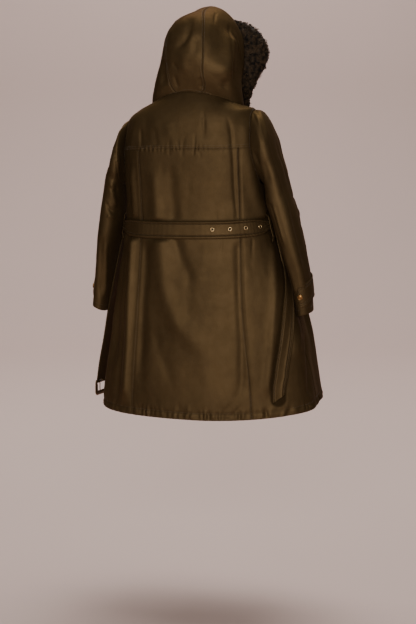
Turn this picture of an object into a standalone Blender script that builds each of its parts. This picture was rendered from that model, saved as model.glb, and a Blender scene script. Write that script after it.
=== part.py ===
"""A hooded raincoat, worn: cloth walls lofted through sections of a general figure, with belt, buckle and buttons.

Metres. The wearer faces +Y, +X is the wearer's right, +Z is up. The origin is in the middle of the neck, level
with the centre back neckline, where the wearer's shoulders carry the coat. Every piece of cloth is a thin wall: its outer face lies on a smooth
surface worked out from the tables below, and its inner face lies one thickness inside that surface.
"""

import math
from collections import namedtuple

import bmesh
import bpy
from mathutils import Matrix, Vector

# ---------------------------------------------------------------- sizes

SEAM_GAP = 0.0003  # between neighbouring panels
BODY_CLOTH = 0.002
SLEEVE_CLOTH = 0.0018
HOOD_CLOTH = 0.002
ARMHOLE_STAND = 0.0009  # a sleeve's first ring stands this far off the body panels
NECK_STAND = 0.0008  # the hood's lower edge stands this far off the neckline
SLEEVE_CLEARANCE = 0.004  # between a sleeve and the coat's side

BELT_CLOTH = 0.003
BELT_STAND = 0.0012  # between the belt and the coat
CARRIER_CLOTH = 0.0016
CARRIER_HALF_WIDTH = 0.006
TAB_CLOTH = 0.0022
TAB_STAND = 0.0006
TAB_HALF_LENGTH = 0.48  # half of the tab's width, in rows of the sleeve
LAP_LIFT = 0.0030  # the right front stands this far off the left front where it laps over
LAP_START, LAP_FULL, LAP_END = 166.0, 172.0, 188.0  # degrees round the body
LEFT_FRONT_END = -186.0

EYELET_RING, EYELET_WIRE, EYELET_HOLE = 0.0042, 0.0014, 0.0021
EYELET_ANGLES = (16.5, 30.0, 44.5, 61.5)

BUTTON_RADIUS, BUTTON_THICKNESS = 0.010, 0.004
TAB_BUTTON_RADIUS = 0.0085
FRONT_BUTTON_ROWS = (2.6, 5.0, 7.2, 9.8, 11.3)
FRONT_BUTTON_ANGLE = 180.0
CONTACT = 0.0003  # between a hard piece and what it rests on

BAR_PLACE = (-0.3340, 0.0240, -0.9260)  # the buckle's bar, at the lower end of the belt's left end
BAR_TURN = -12.0  # degrees about Z
FRAME_WIDTH, FRAME_DROP, FRAME_WIRE, FRAME_CORNER = 0.0640, 0.0420, 0.0025, 0.006
LOOP_OUTER, LOOP_BORE, LOOP_LENGTH, LOOP_OFFSET = 0.0056, 0.0034, 0.019, 0.0165
PRONG_SLOT = (0.03, 0.008, 0.026)  # the slot between the loops, for the prong's eye
PRONG_WIRE, PRONG_EYE = 0.0015, 0.0046

ARMHOLE_TOP, YOKE_ROW, UNDERARM = 2.0, 4.0, 6.0  # rows of BODY
ARMHOLE_STEPS = 8
HEM_ROW = 14.0
HOOD_TURN = 14.0  # degrees, towards the wearer's right
HOOD_SHIFT = 0.012  # the turned hood's middle moves this far to the right
HOOD_TILT = 0.022  # and its top farther still
FACE_ROW = 6.0  # the hood's row at the face opening
NAPE_ROWS = 0.8  # how soon the hood leaves the neckline's curve at the nape
FUR_FORWARD, FUR_DEEP = 0.034, 0.038
FUR_STAND, FUR_STAND_OFF = 0.0007, 0.0022  # between the trim and the hood, at the crown and at the sides
FUR_THICK, FUR_THICKER, FUR_OUT = 0.030, 0.013, 0.016  # the trim is fuller at the sides than over the crown
FUR_SPLAY = 0.08  # its flat side leans away from the hood by this share of the distance from the edge

# Sections of the body, neck to hem. left, right, back and front are half extents from the axis; the z columns
# give the section's height at each of its four sides; square is the superellipse's power.
Section = namedtuple("Section", "left right back front z_back z_left z_right z_front square")
BODY = (
    Section(0.140, 0.148, 0.088, 0.098, 0.000, -0.038, -0.040, -0.098, 2.2),  # 0 neckline
    Section(0.178, 0.168, 0.108, 0.114, -0.038, -0.060, -0.046, -0.122, 2.3),  # 1 shoulder
    Section(0.212, 0.184, 0.122, 0.126, -0.080, -0.088, -0.054, -0.146, 2.4),  # 2 armhole's top
    Section(0.224, 0.198, 0.130, 0.134, -0.128, -0.132, -0.106, -0.175, 2.4),  # 3 shoulder blades
    Section(0.229, 0.207, 0.134, 0.140, -0.170, -0.178, -0.165, -0.205, 2.4),  # 4 yoke seam
    Section(0.228, 0.214, 0.135, 0.145, -0.224, -0.228, -0.224, -0.242, 2.4),  # 5 chest
    Section(0.225, 0.218, 0.134, 0.146, -0.275, -0.278, -0.278, -0.286, 2.4),  # 6 underarm
    Section(0.222, 0.220, 0.132, 0.145, -0.335, -0.335, -0.335, -0.338, 2.4),  # 7
    Section(0.224, 0.226, 0.133, 0.146, -0.385, -0.385, -0.385, -0.387, 2.4),  # 8 belt's top
    Section(0.230, 0.238, 0.138, 0.149, -0.440, -0.440, -0.440, -0.442, 2.4),  # 9 belt's foot
    Section(0.238, 0.266, 0.148, 0.156, -0.530, -0.530, -0.530, -0.532, 2.4),  # 10
    Section(0.252, 0.308, 0.159, 0.165, -0.640, -0.640, -0.640, -0.642, 2.5),  # 11
    Section(0.269, 0.341, 0.169, 0.174, -0.750, -0.750, -0.748, -0.748, 2.5),  # 12
    Section(0.285, 0.364, 0.178, 0.184, -0.860, -0.860, -0.852, -0.855, 2.5),  # 13
    Section(0.302, 0.385, 0.187, 0.194, -0.988, -0.984, -0.962, -0.978, 2.5),  # 14 hem
)

# The largest folds: a ridge (depth above zero) or trough centred at an angle round the body, grown from row top
# to row full and changing to its depth at the hem.
Fold = namedtuple("Fold", "angle width depth hem top full")
FOLDS = (
    Fold(-43.0, 9.0, 0.010, 0.012, 7.0, 12.5),  # ridge beside the left princess seam
    Fold(-27.0, 9.0, -0.008, -0.009, 8.0, 13.0),
    Fold(6.0, 14.0, 0.007, 0.008, 8.5, 13.5),
    Fold(26.0, 7.0, -0.008, -0.010, 8.0, 13.0),  # trough beside the right princess seam
    Fold(58.0, 9.0, -0.006, -0.007, 10.0, 13.5),  # under the belt's tail
    Fold(125.0, 16.0, 0.072, 0.061, 7.8, 11.5),  # the right front swings out
    Fold(152.0, 9.0, -0.012, -0.014, 9.5, 12.5),
    Fold(-120.0, 14.0, 0.010, 0.013, 9.5, 13.5),
    Fold(-143.0, 10.0, -0.009, -0.012, 9.5, 13.5),
)

# How far the armhole is cut into the back and the front at its middle, in degrees from the side.
Armhole = namedtuple("Armhole", "back front")
ARMHOLES = {"right": Armhole(29.0, 27.0), "left": Armhole(13.0, 27.0)}

# Princess seams: distance of each from the coat's middle, from the yoke seam to the hem.
Princess = namedtuple("Princess", "row left right")
PRINCESS = (
    Princess(4.0, 0.158, 0.157),
    Princess(6.0, 0.152, 0.161),
    Princess(8.5, 0.149, 0.167),
    Princess(11.0, 0.155, 0.181),
    Princess(14.0, 0.168, 0.219),
)

# Sections of the sleeves below the armhole's own ring. out is the point farthest from the body, in the nearest.
Cuff = namedtuple("Cuff", "out_x out_z in_x in_z back front")
SLEEVES = {
    "right": (
        Cuff(0.208, -0.057, 0.2235, -0.281, 0.090, 0.083),
        Cuff(0.229, -0.085, 0.2250, -0.285, 0.092, 0.085),
        Cuff(0.246, -0.125, 0.2255, -0.290, 0.091, 0.084),
        Cuff(0.258, -0.180, 0.2255, -0.298, 0.088, 0.081),
        Cuff(0.271, -0.235, 0.2255, -0.310, 0.086, 0.077),
        Cuff(0.286, -0.295, 0.2260, -0.335, 0.085, 0.072),
        Cuff(0.307, -0.355, 0.2400, -0.375, 0.086, 0.066),
        Cuff(0.329, -0.425, 0.2590, -0.435, 0.086, 0.060),
        Cuff(0.344, -0.485, 0.2780, -0.490, 0.080, 0.060),
        Cuff(0.3565, -0.545, 0.2955, -0.550, 0.070, 0.062),
        Cuff(0.3665, -0.610, 0.3115, -0.615, 0.060, 0.062),
        Cuff(0.3690, -0.668, 0.3225, -0.682, 0.050, 0.062),
    ),
    "left": (
        Cuff(0.229, -0.093, 0.2320, -0.281, 0.086, 0.083),
        Cuff(0.240, -0.115, 0.2335, -0.285, 0.088, 0.085),
        Cuff(0.250, -0.150, 0.2335, -0.290, 0.088, 0.084),
        Cuff(0.263, -0.195, 0.2335, -0.298, 0.086, 0.081),
        Cuff(0.283, -0.240, 0.2335, -0.310, 0.084, 0.077),
        Cuff(0.295, -0.300, 0.2335, -0.335, 0.083, 0.072),
        Cuff(0.306, -0.360, 0.2350, -0.375, 0.084, 0.066),
        Cuff(0.3155, -0.425, 0.2460, -0.435, 0.082, 0.060),
        Cuff(0.3225, -0.485, 0.2630, -0.490, 0.074, 0.060),
        Cuff(0.3280, -0.545, 0.2750, -0.550, 0.064, 0.062),
        Cuff(0.3360, -0.605, 0.2860, -0.612, 0.054, 0.062),
        Cuff(0.3435, -0.668, 0.2990, -0.688, 0.046, 0.064),
    ),
}
SLEEVE_SQUARE = 2.3
CUFF_ROW = 12.0
TAB_ROW = 11.1
Tab = namedtuple("Tab", "start end")
TABS = {"right": Tab(-67.5, 101.0), "left": Tab(-112.5, 24.0)}  # degrees round the sleeve, 90 is its back
TAB_SLOPE = 0.0035  # rows that a tab drops for each degree towards its end

# Ribs of the hood, nape to face opening. base is where the rib meets the neckline, in degrees round the body;
# y_top and z_top place its crown; bulge widens it half way up; the last columns place the gusset's two seams.
Rib = namedtuple("Rib", "base y_top z_top bulge gusset_left gusset_right")
HOOD = (
    Rib(22.0, -0.090, 0.003, 0.000, 56.0, 54.0),  # nape
    Rib(40.0, -0.114, 0.060, -0.006, 38.0, 37.5),
    Rib(62.0, -0.122, 0.130, -0.020, 28.0, 28.0),
    Rib(84.0, -0.104, 0.198, -0.031, 26.0, 18.0),
    Rib(106.0, -0.050, 0.242, -0.020, 20.0, 4.0),  # crown
    Rib(128.0, 0.030, 0.259, 0.022, 18.0, 4.0),
    Rib(150.0, 0.098, 0.220, 0.082, 17.0, 5.0),  # face opening
)
HOOD_SQUARE = 2.08

# The belt's left end hangs free: where its middle is and how wide it is, from the carrier to the buckle's bar.
Hang = namedtuple("Hang", "z x y half_width turn")
LEFT_END = (
    Hang(-0.392, -0.2295, 0.0125, 0.017, 0.0),
    Hang(-0.430, -0.2380, 0.0150, 0.022, 0.0),
    Hang(-0.500, -0.2555, 0.0180, 0.0245, 1.0),
    Hang(-0.600, -0.2770, 0.0190, 0.0245, 3.0),
    Hang(-0.680, -0.2930, 0.0200, 0.0245, 6.0),
    Hang(-0.780, -0.3095, 0.0220, 0.0245, 9.0),
    Hang(-0.860, -0.3245, 0.0235, 0.0245, 12.0),
    Hang(-0.9215, -0.3340, 0.0240, 0.0245, 12.0),
)

# The belt's right tail lies on the coat: its middle's place round the body for each row.
Tail = namedtuple("Tail", "row angle half_width")
RIGHT_TAIL = (
    Tail(8.12, 92.5, 0.0160),
    Tail(9.0, 92.5, 0.0170),
    Tail(10.0, 90.0, 0.0235),
    Tail(11.0, 72.5, 0.0225),
    Tail(12.0, 59.5, 0.0215),
    Tail(13.0, 50.5, 0.0215),
    Tail(13.48, 47.0, 0.0215),
)

# The belt across the back: its upper edge's row and its half width, round the body.
Belt = namedtuple("Belt", "angle row half_width")
BACK_BELT = (
    Belt(-86.0, 8.44, 0.015),
    Belt(-76.0, 8.46, 0.019),
    Belt(-60.0, 8.50, 0.0235),
    Belt(-20.0, 8.56, 0.0245),
    Belt(25.0, 8.50, 0.0245),
    Belt(55.0, 8.40, 0.0235),
    Belt(72.0, 8.36, 0.020),
    Belt(80.5, 8.34, 0.016),
)
CARRIER_ANGLES = {"left": -82.0, "right": 79.0}
CARRIER_ROWS = (7.70, 9.15)

CLOTH_COLOUR = (0.075, 0.045, 0.018, 1.0)
FUR_COLOUR = (0.018, 0.013, 0.010, 1.0)
METAL_COLOUR = (0.62, 0.47, 0.28, 1.0)
BUCKLE_COLOUR = (0.16, 0.10, 0.05, 1.0)


# ---------------------------------------------------------------- surfaces


def smooth(table, row):
    """A smooth curve through a table's rows, read at a fractional row."""
    last = len(table) - 1
    row = min(max(row, 0.0), float(last))
    first = min(int(row), last - 1)
    part = row - first
    before, start = table[max(first - 1, 0)], table[first]
    end, after = table[first + 1], table[min(first + 2, last)]
    weights = (
        ((2.0 - part) * part - 1.0) * part / 2.0,
        ((3.0 * part - 5.0) * part * part + 2.0) / 2.0,
        ((4.0 - 3.0 * part) * part + 1.0) * part / 2.0,
        (part - 1.0) * part * part / 2.0,
    )
    return [
        sum(weight * value for weight, value in zip(weights, values))
        for values in zip(before, start, end, after)
    ]


def smooth_by_key(table, key):
    """The same curve for a table whose first column is not its row number."""
    keys = [row[0] for row in table]
    rising = keys[-1] > keys[0]
    place = 0
    while place < len(keys) - 2 and ((key > keys[place + 1]) == rising):
        place += 1
    part = (key - keys[place]) / (keys[place + 1] - keys[place])
    return smooth(table, place + min(max(part, 0.0), 1.0))


def signed_power(value, power):
    return math.copysign(abs(value) ** power, value)


def rise(value, start, end):
    """0 before start, 1 after end, and an even S between them."""
    part = min(max((value - start) / (end - start), 0.0), 1.0)
    return part * part * (3.0 - 2.0 * part)


def body_point(row, angle):
    """The coat's outer surface. Angle 0 is the centre back, 90 the right side, 180 the centre front."""
    section = Section(*smooth(BODY, row))
    turn = math.radians(angle)
    across, along = math.sin(turn), math.cos(turn)
    half_x = section.right if across >= 0.0 else section.left
    half_y = section.back if along >= 0.0 else section.front
    power = 2.0 / section.square
    z_side = section.z_right if across >= 0.0 else section.z_left
    z_end = section.z_back if along >= 0.0 else section.z_front
    point = Vector(
        (
            half_x * signed_power(across, power),
            -half_y * signed_power(along, power),
            z_side + (z_end - z_side) * along * along,
        )
    )
    out = Vector((point.x / half_x**2, point.y / half_y**2, 0.0)).normalized()
    wrapped = (angle + 180.0) % 360.0 - 180.0
    for fold in FOLDS:
        away = (wrapped - fold.angle + 180.0) % 360.0 - 180.0
        depth = fold.depth + (fold.hem - fold.depth) * rise(row, fold.full, HEM_ROW)
        grown = rise(row, fold.top, fold.full)
        point += out * depth * grown * math.exp(-((away / fold.width) ** 2))
    return point


def body_normal(row, angle):
    step_row, step_angle = 0.02, 0.5
    down = body_point(min(row + step_row, HEM_ROW), angle) - body_point(max(row - step_row, 0.0), angle)
    round_body = body_point(row, angle + step_angle) - body_point(row, angle - step_angle)
    return down.cross(round_body).normalized()


def on_body(row, angle, lift=0.0):
    return body_point(row, angle) + body_normal(row, angle) * lift


def degrees_for(row, angle, length):
    """How many degrees round the body a length takes there."""
    step = 0.5
    arc = (body_point(row, angle + step) - body_point(row, angle - step)).length
    return 2.0 * step * length / arc


def rows_for(row, angle, length):
    """How many rows down the body a length takes there."""
    step = 0.05
    arc = (body_point(row + step, angle) - body_point(row - step, angle)).length
    return 2.0 * step * length / arc


def armhole_edge(side, turn):
    """Row and body angle of the armhole's edge. Turn 0 is its top, 90 its back, 180 the underarm, 270 its front."""
    cut = ARMHOLES[side]
    height = math.cos(math.radians(turn))
    reach = math.sin(math.radians(turn))
    row = YOKE_ROW - (YOKE_ROW - ARMHOLE_TOP) * height
    angle = 90.0 - (cut.back if reach >= 0.0 else cut.front) * reach
    return row, angle if side == "right" else -angle


def push_clear(point, clearance):
    """Moves a point of a sleeve sideways until it is clear of the coat's side."""
    if point.z > BODY[int(UNDERARM)].z_left + 0.03:
        return point
    row = UNDERARM
    while row < HEM_ROW and smooth(BODY, row)[Section._fields.index("z_left")] > point.z:
        row += 0.05
    section = Section(*smooth(BODY, row))
    half_x = (section.right if point.x > 0.0 else section.left) + clearance
    half_y = (section.back if point.y < 0.0 else section.front) + clearance
    if abs(point.y) >= half_y:
        return point
    wall = half_x * (1.0 - (abs(point.y) / half_y) ** section.square) ** (1.0 / section.square)
    return Vector((math.copysign(max(abs(point.x), wall), point.x), point.y, point.z))


def sleeve_ring_point(side, ring, turn):
    """A point of one section of a sleeve. Turn 0 is its outer side, 90 its back."""
    if ring <= 0:
        row, angle = armhole_edge(side, turn)
        return on_body(row, angle, ARMHOLE_STAND)
    cuff = SLEEVES[side][ring - 1]
    sign = 1.0 if side == "right" else -1.0
    outer = Vector((sign * cuff.out_x, 0.0, cuff.out_z))
    inner = Vector((sign * cuff.in_x, 0.0, cuff.in_z))
    middle = (outer + inner) / 2.0
    height = signed_power(math.cos(math.radians(turn)), 2.0 / SLEEVE_SQUARE)
    reach = signed_power(math.sin(math.radians(turn)), 2.0 / SLEEVE_SQUARE)
    depth = cuff.back if reach >= 0.0 else cuff.front
    point = middle + (outer - middle) * height - Vector((0.0, depth * reach, 0.0))
    return push_clear(point, SLEEVE_CLEARANCE)


def sleeve_point(side, ring, turn):
    last = len(SLEEVES[side])
    first = min(int(ring), last - 1)
    points = [
        sleeve_ring_point(side, min(max(number, 0), last), turn)
        for number in range(first - 1, first + 3)
    ]
    return Vector(smooth(points, 1.0 + ring - first))


def sleeve_normal(side, ring, turn):
    step_ring, step_turn = 0.05, 2.0
    last = float(len(SLEEVES[side]))
    along = sleeve_point(side, min(ring + step_ring, last), turn) - sleeve_point(
        side, max(ring - step_ring, 0.0), turn
    )
    around = sleeve_point(side, ring, turn + step_turn) - sleeve_point(side, ring, turn - step_turn)
    out = around.cross(along) if side == "right" else along.cross(around)
    return out.normalized()


def on_sleeve(side, ring, turn, lift=0.0):
    return sleeve_point(side, ring, turn) + sleeve_normal(side, ring, turn) * lift


def hood_point(row, lean):
    """The hood's outer surface. Row runs from the nape to the face opening, lean from -90 (left) to 90 (right)."""
    rib = Rib(*smooth(HOOD, row))
    sides = [body_point(0.0, sign * rib.base) for sign in (-1.0, 1.0)]
    foot = sides[1] if lean >= 0.0 else sides[0]
    middle = Vector((0.0, foot.y, foot.z + NECK_STAND))
    crown = Vector((0.0, rib.y_top, rib.z_top))
    power = 2.0 / HOOD_SQUARE
    across = signed_power(math.sin(math.radians(lean)), power)
    up = signed_power(math.cos(math.radians(lean)), power)
    half = abs(foot.x) + rib.bulge * up
    point = middle + Vector((half * across, 0.0, 0.0)) + (crown - middle) * up
    neckline = body_point(0.0, rib.base * lean / 90.0) + Vector((0.0, 0.0, NECK_STAND))
    point = neckline.lerp(point, rise(row, 0.0, NAPE_ROWS))
    grown = rise(point.z, -0.03, 0.10)
    turned = Matrix.Rotation(-grown * math.radians(HOOD_TURN), 3, "Z") @ point
    tilted = rise(point.z, 0.08, 0.26) * HOOD_TILT
    return turned + Vector((grown * HOOD_SHIFT + tilted, 0.0, 0.0))


def hood_normal(row, lean):
    step_row, step_lean = 0.05, 1.0
    along = hood_point(min(row + step_row, FACE_ROW), lean) - hood_point(max(row - step_row, 0.0), lean)
    across = hood_point(row, lean + step_lean) - hood_point(row, lean - step_lean)
    return across.cross(along).normalized()


def gusset_lean(side, row):
    """The lean of the gusset's seam on one side."""
    rib = Rib(*smooth(HOOD, row))
    return -rib.gusset_left if side == "left" else rib.gusset_right


# ---------------------------------------------------------------- meshes


def spread(start, end, count):
    """count + 1 even values from start to end."""
    return [start + (end - start) * number / count for number in range(count + 1)]


def new_object(name, mesh, material):
    obj = bpy.data.objects.new(name, mesh)
    obj.data.materials.append(material)
    bpy.data.collections["raincoat"].objects.link(obj)
    return obj


def smooth_shading(mesh, degrees=40.0):
    mesh.shade_smooth()
    mesh.set_sharp_from_angle(angle=math.radians(degrees))


def wall(name, outer, inner, material, closed=False):
    """A closed wall between two grids of points. With closed, each grid's last column joins its first."""
    rows, columns = len(outer), len(outer[0])
    shape = bmesh.new()
    faces = [[[shape.verts.new(point) for point in row] for row in grid] for grid in (outer, inner)]
    spans = range(columns) if closed else range(columns - 1)
    for row in range(rows - 1):
        for column in spans:
            beside = (column + 1) % columns
            for skin in faces:
                shape.faces.new(
                    (skin[row][column], skin[row][beside], skin[row + 1][beside], skin[row + 1][column])
                )
    for row in (0, rows - 1):
        for column in spans:
            beside = (column + 1) % columns
            shape.faces.new(
                (faces[0][row][column], faces[0][row][beside], faces[1][row][beside], faces[1][row][column])
            )
    if not closed:
        for column in (0, columns - 1):
            for row in range(rows - 1):
                shape.faces.new(
                    (
                        faces[0][row][column],
                        faces[0][row + 1][column],
                        faces[1][row + 1][column],
                        faces[1][row][column],
                    )
                )
    bmesh.ops.recalc_face_normals(shape, faces=shape.faces)
    mesh = bpy.data.meshes.new(name)
    shape.to_mesh(mesh)
    shape.free()
    smooth_shading(mesh)
    return new_object(name, mesh, material)


def tube_of_rings(name, rings, material):
    """A solid through closed rings of points, with a flat face at each end."""
    shape = bmesh.new()
    loops = [[shape.verts.new(point) for point in ring] for ring in rings]
    count = len(rings[0])
    for first, second in zip(loops, loops[1:]):
        for number in range(count):
            beside = (number + 1) % count
            shape.faces.new((first[number], first[beside], second[beside], second[number]))
    shape.faces.new(loops[0])
    shape.faces.new(loops[-1])
    bmesh.ops.recalc_face_normals(shape, faces=shape.faces)
    mesh = bpy.data.meshes.new(name)
    shape.to_mesh(mesh)
    shape.free()
    smooth_shading(mesh)
    return new_object(name, mesh, material)


def material(name, colour, roughness, metallic=0.0):
    made = bpy.data.materials.new(name)
    made.use_nodes = True
    shader = made.node_tree.nodes["Principled BSDF"]
    shader.inputs["Base Color"].default_value = colour
    shader.inputs["Roughness"].default_value = roughness
    shader.inputs["Metallic"].default_value = metallic
    made.diffuse_color = colour
    return made


# ---------------------------------------------------------------- body panels


def body_panel(name, rows, first_edge, last_edge, columns, cloth, lift=None):
    """A panel of the body between two edges, each a function from row to angle. lift raises parts of it."""
    outer, inner = [], []
    for row in rows:
        start, end = first_edge(row), last_edge(row)
        start += degrees_for(row, start, SEAM_GAP / 2.0)
        end -= degrees_for(row, end, SEAM_GAP / 2.0)
        angles = spread(start, end, columns)
        raised = [lift(angle) if lift else 0.0 for angle in angles]
        outer.append([on_body(row, angle, up) for angle, up in zip(angles, raised)])
        inner.append([on_body(row, angle, up - BODY_CLOTH) for angle, up in zip(angles, raised)])
    return wall(name, outer, inner, cloth)


def armhole_rows():
    """The rows at which panels and sleeve share the armhole's points, shoulder to underarm."""
    return [armhole_edge("right", turn)[0] for turn in spread(0.0, 180.0, ARMHOLE_STEPS)]


def armhole_angle(side, row, facing):
    """The body angle of the armhole's back (facing 1) or front (facing -1) edge in a row, the side seam elsewhere."""
    if not ARMHOLE_TOP < row < UNDERARM:
        return 90.0 if side == "right" else -90.0
    height = (YOKE_ROW - row) / (YOKE_ROW - ARMHOLE_TOP)
    turn = math.degrees(math.acos(height)) * facing
    return armhole_edge(side, turn)[1]


def princess_angle(side, row):
    """The body angle of a princess seam, from its distance to the coat's middle."""
    line = Princess(*smooth_by_key(PRINCESS, row))
    section = Section(*smooth(BODY, row))
    offset, half = (line.left, section.left) if side == "left" else (line.right, section.right)
    angle = math.degrees(math.asin((offset / half) ** (section.square / 2.0)))
    return -angle if side == "left" else angle


def make_body(cloth):
    armhole = armhole_rows()
    yoke = [0.0, 0.7, 1.4] + [row for row in armhole if row < YOKE_ROW - 0.01]
    yoke.append(YOKE_ROW - rows_for(YOKE_ROW, 0.0, SEAM_GAP / 2.0))
    below = [YOKE_ROW + rows_for(YOKE_ROW, 0.0, SEAM_GAP / 2.0)]
    below += [row for row in armhole if row > YOKE_ROW + 0.01] + spread(7.0, HEM_ROW, 7)
    full = [0.0, 0.7, 1.4] + armhole + spread(7.0, HEM_ROW, 7)
    body_panel(
        "back_yoke",
        yoke,
        lambda row: armhole_angle("left", row, 1),
        lambda row: armhole_angle("right", row, 1),
        18,
        cloth,
    )
    body_panel(
        "back_center",
        below,
        lambda row: princess_angle("left", row),
        lambda row: princess_angle("right", row),
        12,
        cloth,
    )
    body_panel(
        "back_side_left",
        below,
        lambda row: armhole_angle("left", row, 1),
        lambda row: princess_angle("left", row),
        6,
        cloth,
    )
    body_panel(
        "back_side_right",
        below,
        lambda row: princess_angle("right", row),
        lambda row: armhole_angle("right", row, 1),
        6,
        cloth,
    )
    body_panel(
        "front_left",
        full,
        lambda row: LEFT_FRONT_END,
        lambda row: armhole_angle("left", row, -1),
        11,
        cloth,
    )
    body_panel(
        "front_right",
        full,
        lambda row: armhole_angle("right", row, -1),
        lambda row: LAP_END,
        13,
        cloth,
        lambda angle: LAP_LIFT * rise(angle, LAP_START, LAP_FULL),
    )


# ---------------------------------------------------------------- sleeves and tabs


def make_sleeve(side, cloth):
    turns = spread(0.0, 360.0, 2 * ARMHOLE_STEPS)[:-1]
    rings = [0.0, 0.5] + spread(1.0, CUFF_ROW, 11)
    outer = [[on_sleeve(side, ring, turn) for turn in turns] for ring in rings]
    inner = [[on_sleeve(side, ring, turn, -SLEEVE_CLOTH) for turn in turns] for ring in rings]
    wall("sleeve_" + side, outer, inner, cloth, closed=True)


def tab_row(side, turn):
    return TAB_ROW - TAB_SLOPE * (TABS[side].end - turn)


def make_tab(side, cloth):
    """A strap round the cuff. Its far end is pointed."""
    tab = TABS[side]
    step = 360.0 / (2 * ARMHOLE_STEPS)
    turns = [tab.start + step * number for number in range(int((tab.end - tab.start) / step) + 1)]
    widths = [1.0] * len(turns)
    turns += [tab.end]
    widths += [0.35]
    outer, inner = [], []
    for share in (-1.0, 0.0, 1.0):
        rings = [
            tab_row(side, turn) + share * TAB_HALF_LENGTH * width for turn, width in zip(turns, widths)
        ]
        places = list(zip(rings, turns))
        outer.append([on_sleeve(side, ring, turn, TAB_STAND + TAB_CLOTH) for ring, turn in places])
        inner.append([on_sleeve(side, ring, turn, TAB_STAND) for ring, turn in places])
    wall("cuff_tab_" + side, outer, inner, cloth)


def make_button(name, place, out, radius, metal):
    """A turned button lying on a place, facing out."""
    profile = (
        (0.0, BUTTON_THICKNESS * 0.75),
        (radius * 0.55, BUTTON_THICKNESS * 0.70),
        (radius * 0.80, BUTTON_THICKNESS),
        (radius * 0.97, BUTTON_THICKNESS * 0.80),
        (radius, BUTTON_THICKNESS * 0.45),
        (radius * 0.85, 0.0),
        (0.0, 0.0),
    )
    mesh = bpy.data.meshes.new(name)
    edges = [(number, number + 1) for number in range(len(profile) - 1)]
    mesh.from_pydata([(x, 0.0, z) for x, z in profile], edges, [])
    obj = new_object(name, mesh, metal)
    turned = obj.modifiers.new("turn", "SCREW")
    turned.axis = "Z"
    turned.angle = math.tau
    turned.steps = turned.render_steps = 16
    turned.use_merge_vertices = True
    turned.merge_threshold = 0.00001
    turned.use_smooth_shade = True
    obj.location = place + out * CONTACT
    obj.rotation_euler = out.to_track_quat("Z", "Y").to_euler()
    return obj


def make_tab_button(side, metal):
    tab = TABS[side]
    turn = tab.end - (360.0 / (2 * ARMHOLE_STEPS)) * 0.55
    lift = TAB_STAND + TAB_CLOTH
    row = tab_row(side, turn)
    place = on_sleeve(side, row, turn, lift)
    make_button("cuff_button_" + side, place, sleeve_normal(side, row, turn), TAB_BUTTON_RADIUS, metal)


def make_front_buttons(metal):
    for number, row in enumerate(FRONT_BUTTON_ROWS, 1):
        place = on_body(row, FRONT_BUTTON_ANGLE, LAP_LIFT)
        out = body_normal(row, FRONT_BUTTON_ANGLE)
        make_button("front_button_%d" % number, place, out, BUTTON_RADIUS, metal)


# ---------------------------------------------------------------- hood


def hood_piece(name, rows, first_lean, last_lean, columns, cloth):
    outer, inner = [], []
    for row in rows:
        leans = spread(first_lean(row), last_lean(row), columns)
        outer.append([hood_point(row, lean) for lean in leans])
        inner.append(
            [hood_point(row, lean) - hood_normal(row, lean) * HOOD_CLOTH for lean in leans]
        )
    return wall(name, outer, inner, cloth)


def make_hood(cloth):
    rows = spread(0.0, FACE_ROW, 15)
    gap = 0.12  # degrees of lean each side of a gusset seam
    hood_piece(
        "hood_gusset",
        rows,
        lambda row: gusset_lean("left", row) + gap,
        lambda row: gusset_lean("right", row) - gap,
        6,
        cloth,
    )
    hood_piece(
        "hood_side_left", rows, lambda row: -90.0, lambda row: gusset_lean("left", row) - gap, 9, cloth
    )
    hood_piece(
        "hood_side_right", rows, lambda row: gusset_lean("right", row) + gap, lambda row: 90.0, 9, cloth
    )


def fur_ring(lean, size):
    """A ring of the fur's reach, with its flat side along the hood's face edge."""
    edge = hood_point(FACE_ROW, lean)
    ahead = (edge - hood_point(FACE_ROW - 0.2, lean)).normalized()
    out = hood_normal(FACE_ROW, lean)
    full = rise(abs(lean), 5.0, 45.0)
    thick = (FUR_THICK + FUR_THICKER * full) * size
    stand = FUR_STAND + (FUR_STAND_OFF - FUR_STAND) * rise(abs(lean), 30.0, 60.0)
    ring = []
    for turn in spread(0.0, math.tau, 12)[:-1]:
        lift = FUR_OUT * full * size + thick * math.sin(turn)
        forward = (FUR_FORWARD + FUR_DEEP * math.cos(turn)) * size
        forward = max(forward, stand + FUR_SPLAY * abs(lift))
        ring.append(edge + ahead * forward + out * lift)
    return ring


def make_fur(fur):
    leans = spread(-84.0, 84.0, 22)
    rings = [fur_ring(lean, 1.0 - 0.25 * rise(abs(lean), 55.0, 84.0)) for lean in leans]
    tube_of_rings("fur_trim", rings, fur)


# ---------------------------------------------------------------- belt


def strap_on_body(name, places, cloth, lift, thickness):
    """A strap lying on the coat: places are rows of (row, angle) pairs across the strap's width."""
    outer = [[on_body(row, angle, lift + thickness) for row, angle in line] for line in places]
    inner = [[on_body(row, angle, lift) for row, angle in line] for line in places]
    return wall(name, outer, inner, cloth)


def belt_place(angle, share):
    belt = Belt(*smooth_by_key(BACK_BELT, angle))
    half = rows_for(belt.row, angle, belt.half_width)
    return belt.row + share * half, angle


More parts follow.
